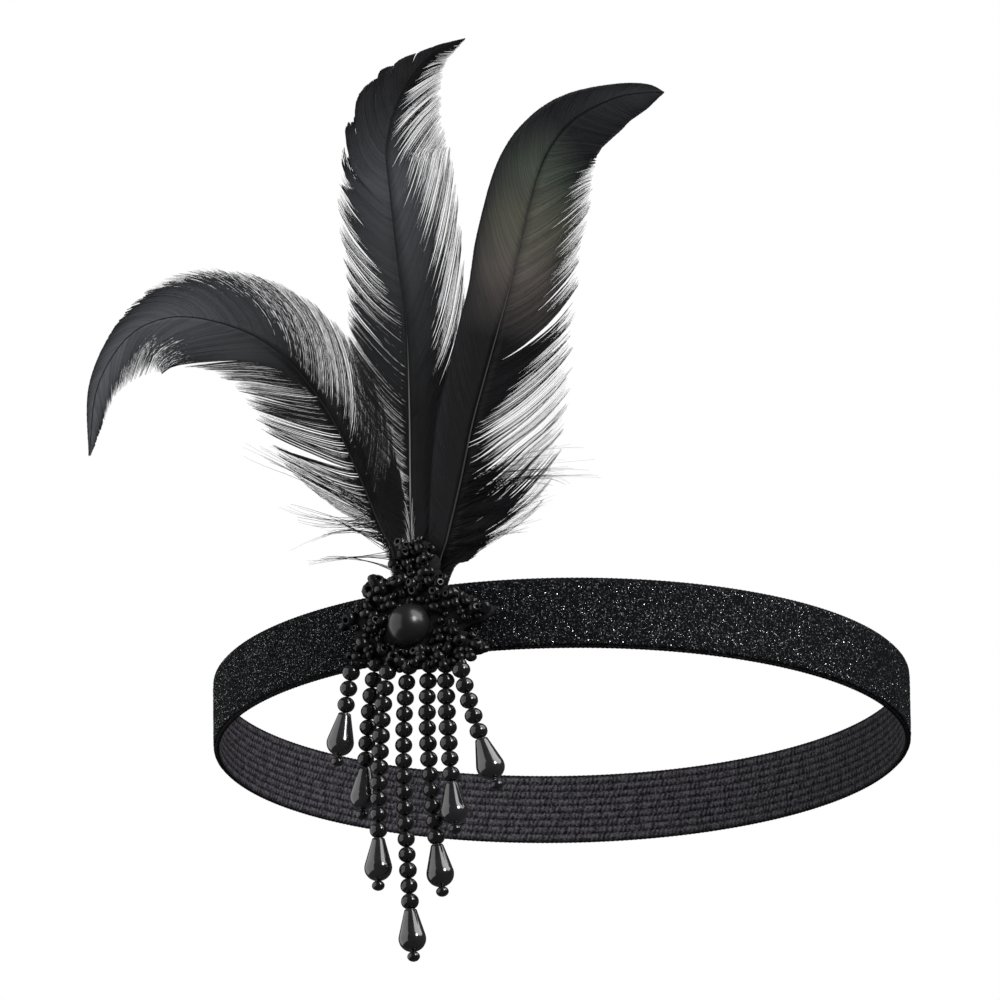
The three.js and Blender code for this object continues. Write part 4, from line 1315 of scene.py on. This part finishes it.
def loose_hairs(shaft, rows, proud_at_tip):
    """Downy hairs that leave the vane: each is a parabola from its root on the shaft through a middle point
    to a tip, with a tremble that grows towards the tip."""
    hairs = np.array([row[:-1] for row in rows]).repeat([row[-1] for row in rows], axis=0)
    count = len(hairs)
    each = (count, 1)
    root = np.clip(hairs[:, 0] + random.normal(0, HAIR_ROOT_SPREAD, count), LOWEST_HAIR, 1)
    start = np.stack([shaft.at("side", root), shaft.at("up", root)], axis=-1)[:, None]
    spread = hairs[:, 5, None] * random.normal(0, 1, (count, 2))
    middle = (hairs[:, 1:3] + 0.6 * spread)[:, None] * MM
    end = (hairs[:, 3:5] + spread)[:, None] * MM
    bend = 2 * middle - (start + end) / 2
    way = np.linspace(0, 1, BARB_RINGS)[None, :] * random.uniform(*HAIR_LENGTHS, each)
    step = way[..., None]
    flat = start * (1 - step) ** 2 + bend * 2 * step * (1 - step) + end * step**2
    phase = random.uniform(0, 6, each) + way * random.uniform(3, 9, each)
    up = flat[..., 1] + HAIR_TREMBLE * way * np.sin(phase)
    depth = shaft.depth(up, 0, way * (proud_at_tip + random.normal(0, HAIR_DEPTH, each)))
    paths = np.stack([flat[..., 0], -(BAND_RADIUS + depth), up], axis=-1)
    widths = (HAIR_WIDTH + (TIP_WIDTH - HAIR_WIDTH) * way) * random.uniform(*HAIR_WIDTHS, each)
    along = np.broadcast_to(root[:, None], way.shape)
    return paths, np.maximum(widths, TIP_WIDTH), barb_values(along, way, random.random(each))


print(f"hairs are about {HAIR_WIDTH / MM:.2f} mm wide at the root")

# %% [markdown]
# ## Feather finishes
# Dyed black feathers still show a sheen: bluish grey on two of these, and brown, olive and green on the
# right one. Iridescence could come from a thin film in the shader, but here it shows only near the shaft
# and along part of it. So the sheen is painted: the barbs carry their place along the shaft and along
# themselves, and a colour ramp of painted sheen along the shaft is mixed into the base colour where the
# barb starts.

# %% Feather finishes
BLACK = (0.003, 0.0032, 0.0042)


def vane_finish(name, light, *sheen_stops):
    """Black barbs with a tone of their own, and a painted sheen near the shaft: a colour that changes
    along the shaft, mixed into the base colour.
    """
    finish = Finish(name, {"Specular IOR Level": 0.32})
    tone = finish.attribute("tone")
    base = finish.mix(tone, BLACK, light)
    # Painted sheen: a colour by place along the shaft, mixed in most near the shaft and on lighter streaks,
    # and fading out along each barb.
    sheen = finish.ramp(finish.attribute("along"), *sheen_stops)
    reach = finish.attribute("reach")
    sheen_share = (1 - reach * reach) * (0.3 + 0.45 * finish.noise(12 * MM) + 0.5 * tone)
    finish.feed("Base Color", finish.mix(sheen_share, base, sheen))
    finish.feed("Roughness", 0.36 + 0.22 * tone)
    return finish


def shaft_finish(name, *stops):
    """A horny shaft whose colour changes along it, clouded by a fine noise."""
    finish = Finish(name, {"Specular IOR Level": 0.3})
    along = finish.attribute("along")
    cloud = finish.noise(6 * MM, 3.0)
    finish.feed("Base Color", finish.mix(cloud * 0.5, finish.ramp(along, *stops), BLACK))
    finish.feed("Roughness", 0.45 + 0.2 * cloud)
    return finish


LEFT_LIGHT = (0.034, 0.0355, 0.043)
DARK_LIGHT = (0.025, 0.026, 0.032)
# Colours of the painted sheen: bluish grey on the left and middle feathers, a fainter painted sheen lower on
# the middle one, and brown, olive and green on the right one.
LEFT_SHEEN = (0.15, 0.16, 0.177)
MIDDLE_SHEEN = (0.105, 0.113, 0.127)
MIDDLE_FAINT_SHEEN = (0.03, 0.032, 0.034)
OLIVE_SHEEN = (0.185, 0.185, 0.135)
BROWN_SHEEN = (0.18, 0.155, 0.142)
GREEN_SHEEN = (0.115, 0.142, 0.108)
left_vane = vane_finish("left_vane", LEFT_LIGHT,
                        (0.0, BLACK), (0.5, BLACK), (0.75, LEFT_SHEEN), (1.0, LEFT_SHEEN))
middle_vane = vane_finish("middle_vane", DARK_LIGHT,
                          (0.0, BLACK), (0.35, BLACK), (0.5, MIDDLE_FAINT_SHEEN), (0.73, MIDDLE_SHEEN),
                          (0.88, BLACK), (1.0, BLACK))
# Towards the tip the right feather's ramp turns a lighter grey.
green_vane = vane_finish("green_sheen_vane", DARK_LIGHT,
                         (0.0, BLACK), (0.47, BLACK), (0.58, BROWN_SHEEN), (0.66, OLIVE_SHEEN), (0.74, GREEN_SHEEN),
                         (0.82, (0.02, 0.021, 0.025)), (1.0, (0.05, 0.052, 0.06)))
dark_shaft = shaft_finish("dark_shaft", (0.0, (0.02, 0.02, 0.021)), (0.4, (0.008, 0.008, 0.009)))
pale_shaft = shaft_finish("pale_shaft", (0.0, (0.02, 0.02, 0.02)), (0.17, (0.03, 0.03, 0.03)),
                          (0.23, (0.3, 0.3, 0.31)), (0.36, (0.2, 0.2, 0.21)),
                          (0.48, (0.006, 0.006, 0.007)))
grey_shaft = shaft_finish("grey_shaft", (0.0, (0.05, 0.05, 0.054)), (0.62, (0.11, 0.11, 0.11)),
                          (0.76, (0.008, 0.008, 0.008)))
down = Finish("pale_down", {"Roughness": 0.6})
down.feed("Base Color", down.mix(down.attribute("tone"), (0.01, 0.01, 0.011), (0.8, 0.8, 0.82)))
print("three vanes, three shafts and the down have finishes")

# %% [markdown]
# ## The three feathers
# Each feather takes its stations, partings, lean in degrees, and for either hand the slope of its barbs
# and how much more they sweep towards the tip. One mesh could be copied three times, but these differ in
# outline and sheen, so a loop makes each from its own row. Its vane and hairs are one piece and its shaft
# is another, and the middle one's down is a third.

# %% Feathers
QUILL_RADIUS = 0.26 * MM
SHAFT_TIP_RADIUS = 0.1 * MM
DOWN_PROUD = 0.8 * MM
FEATHERS = [
    ("left", LEFT_STATIONS, LEFT_PARTINGS, -8, (1.6, 1.0, 2.2, 0), left_vane, dark_shaft, LEFT_HAIRS),
    ("middle", MIDDLE_STATIONS, MIDDLE_PARTINGS, 0, (1.4, 0, 2.4, 0), middle_vane, pale_shaft, MIDDLE_HAIRS),
    ("right", RIGHT_STATIONS, RIGHT_PARTINGS, 8, (1.6, 0, 1.3, 0), green_vane, grey_shaft, RIGHT_HAIRS),
]


def barb_piece(name, groups, finish, node):
    """One piece from groups of barbs, with the barbs' values carried to the three corners of each ring."""
    paths = np.concatenate([group[0] for group in groups])
    widths = np.concatenate([group[1] for group in groups])
    values = {title: np.concatenate([group[2][title] for group in groups]).ravel().repeat(3)
              for title in groups[0][2]}
    points, face_sets = tubes(paths, widths)
    make_piece(name, points, face_sets, finish, node, values=values)


for name, stations, partings, lean, slopes, vane, shaft_look, hairs in FEATHERS:
    shaft = Shaft(stations, partings, lean)
    node = f"feather_{name}"
    groups = [vane_side(shaft, -1, *slopes[:2]), vane_side(shaft, 1, *slopes[2:])]
    groups.append(loose_hairs(shaft, hairs, 0))
    barb_piece(f"{node}_vane", groups, vane, node)
    shaft_points, shaft_faces, shaft_along = shaft_tube(shaft, QUILL_RADIUS, SHAFT_TIP_RADIUS)
    make_piece(f"{node}_shaft", shaft_points, shaft_faces, shaft_look, node,
               values={"along": shaft_along})
    if name == "middle":
        barb_piece(f"{node}_down", [loose_hairs(shaft, DOWN_HAIRS, DOWN_PROUD)], down, node)
    print(f"{node}: shaft {shaft.length / MM:.0f} mm")
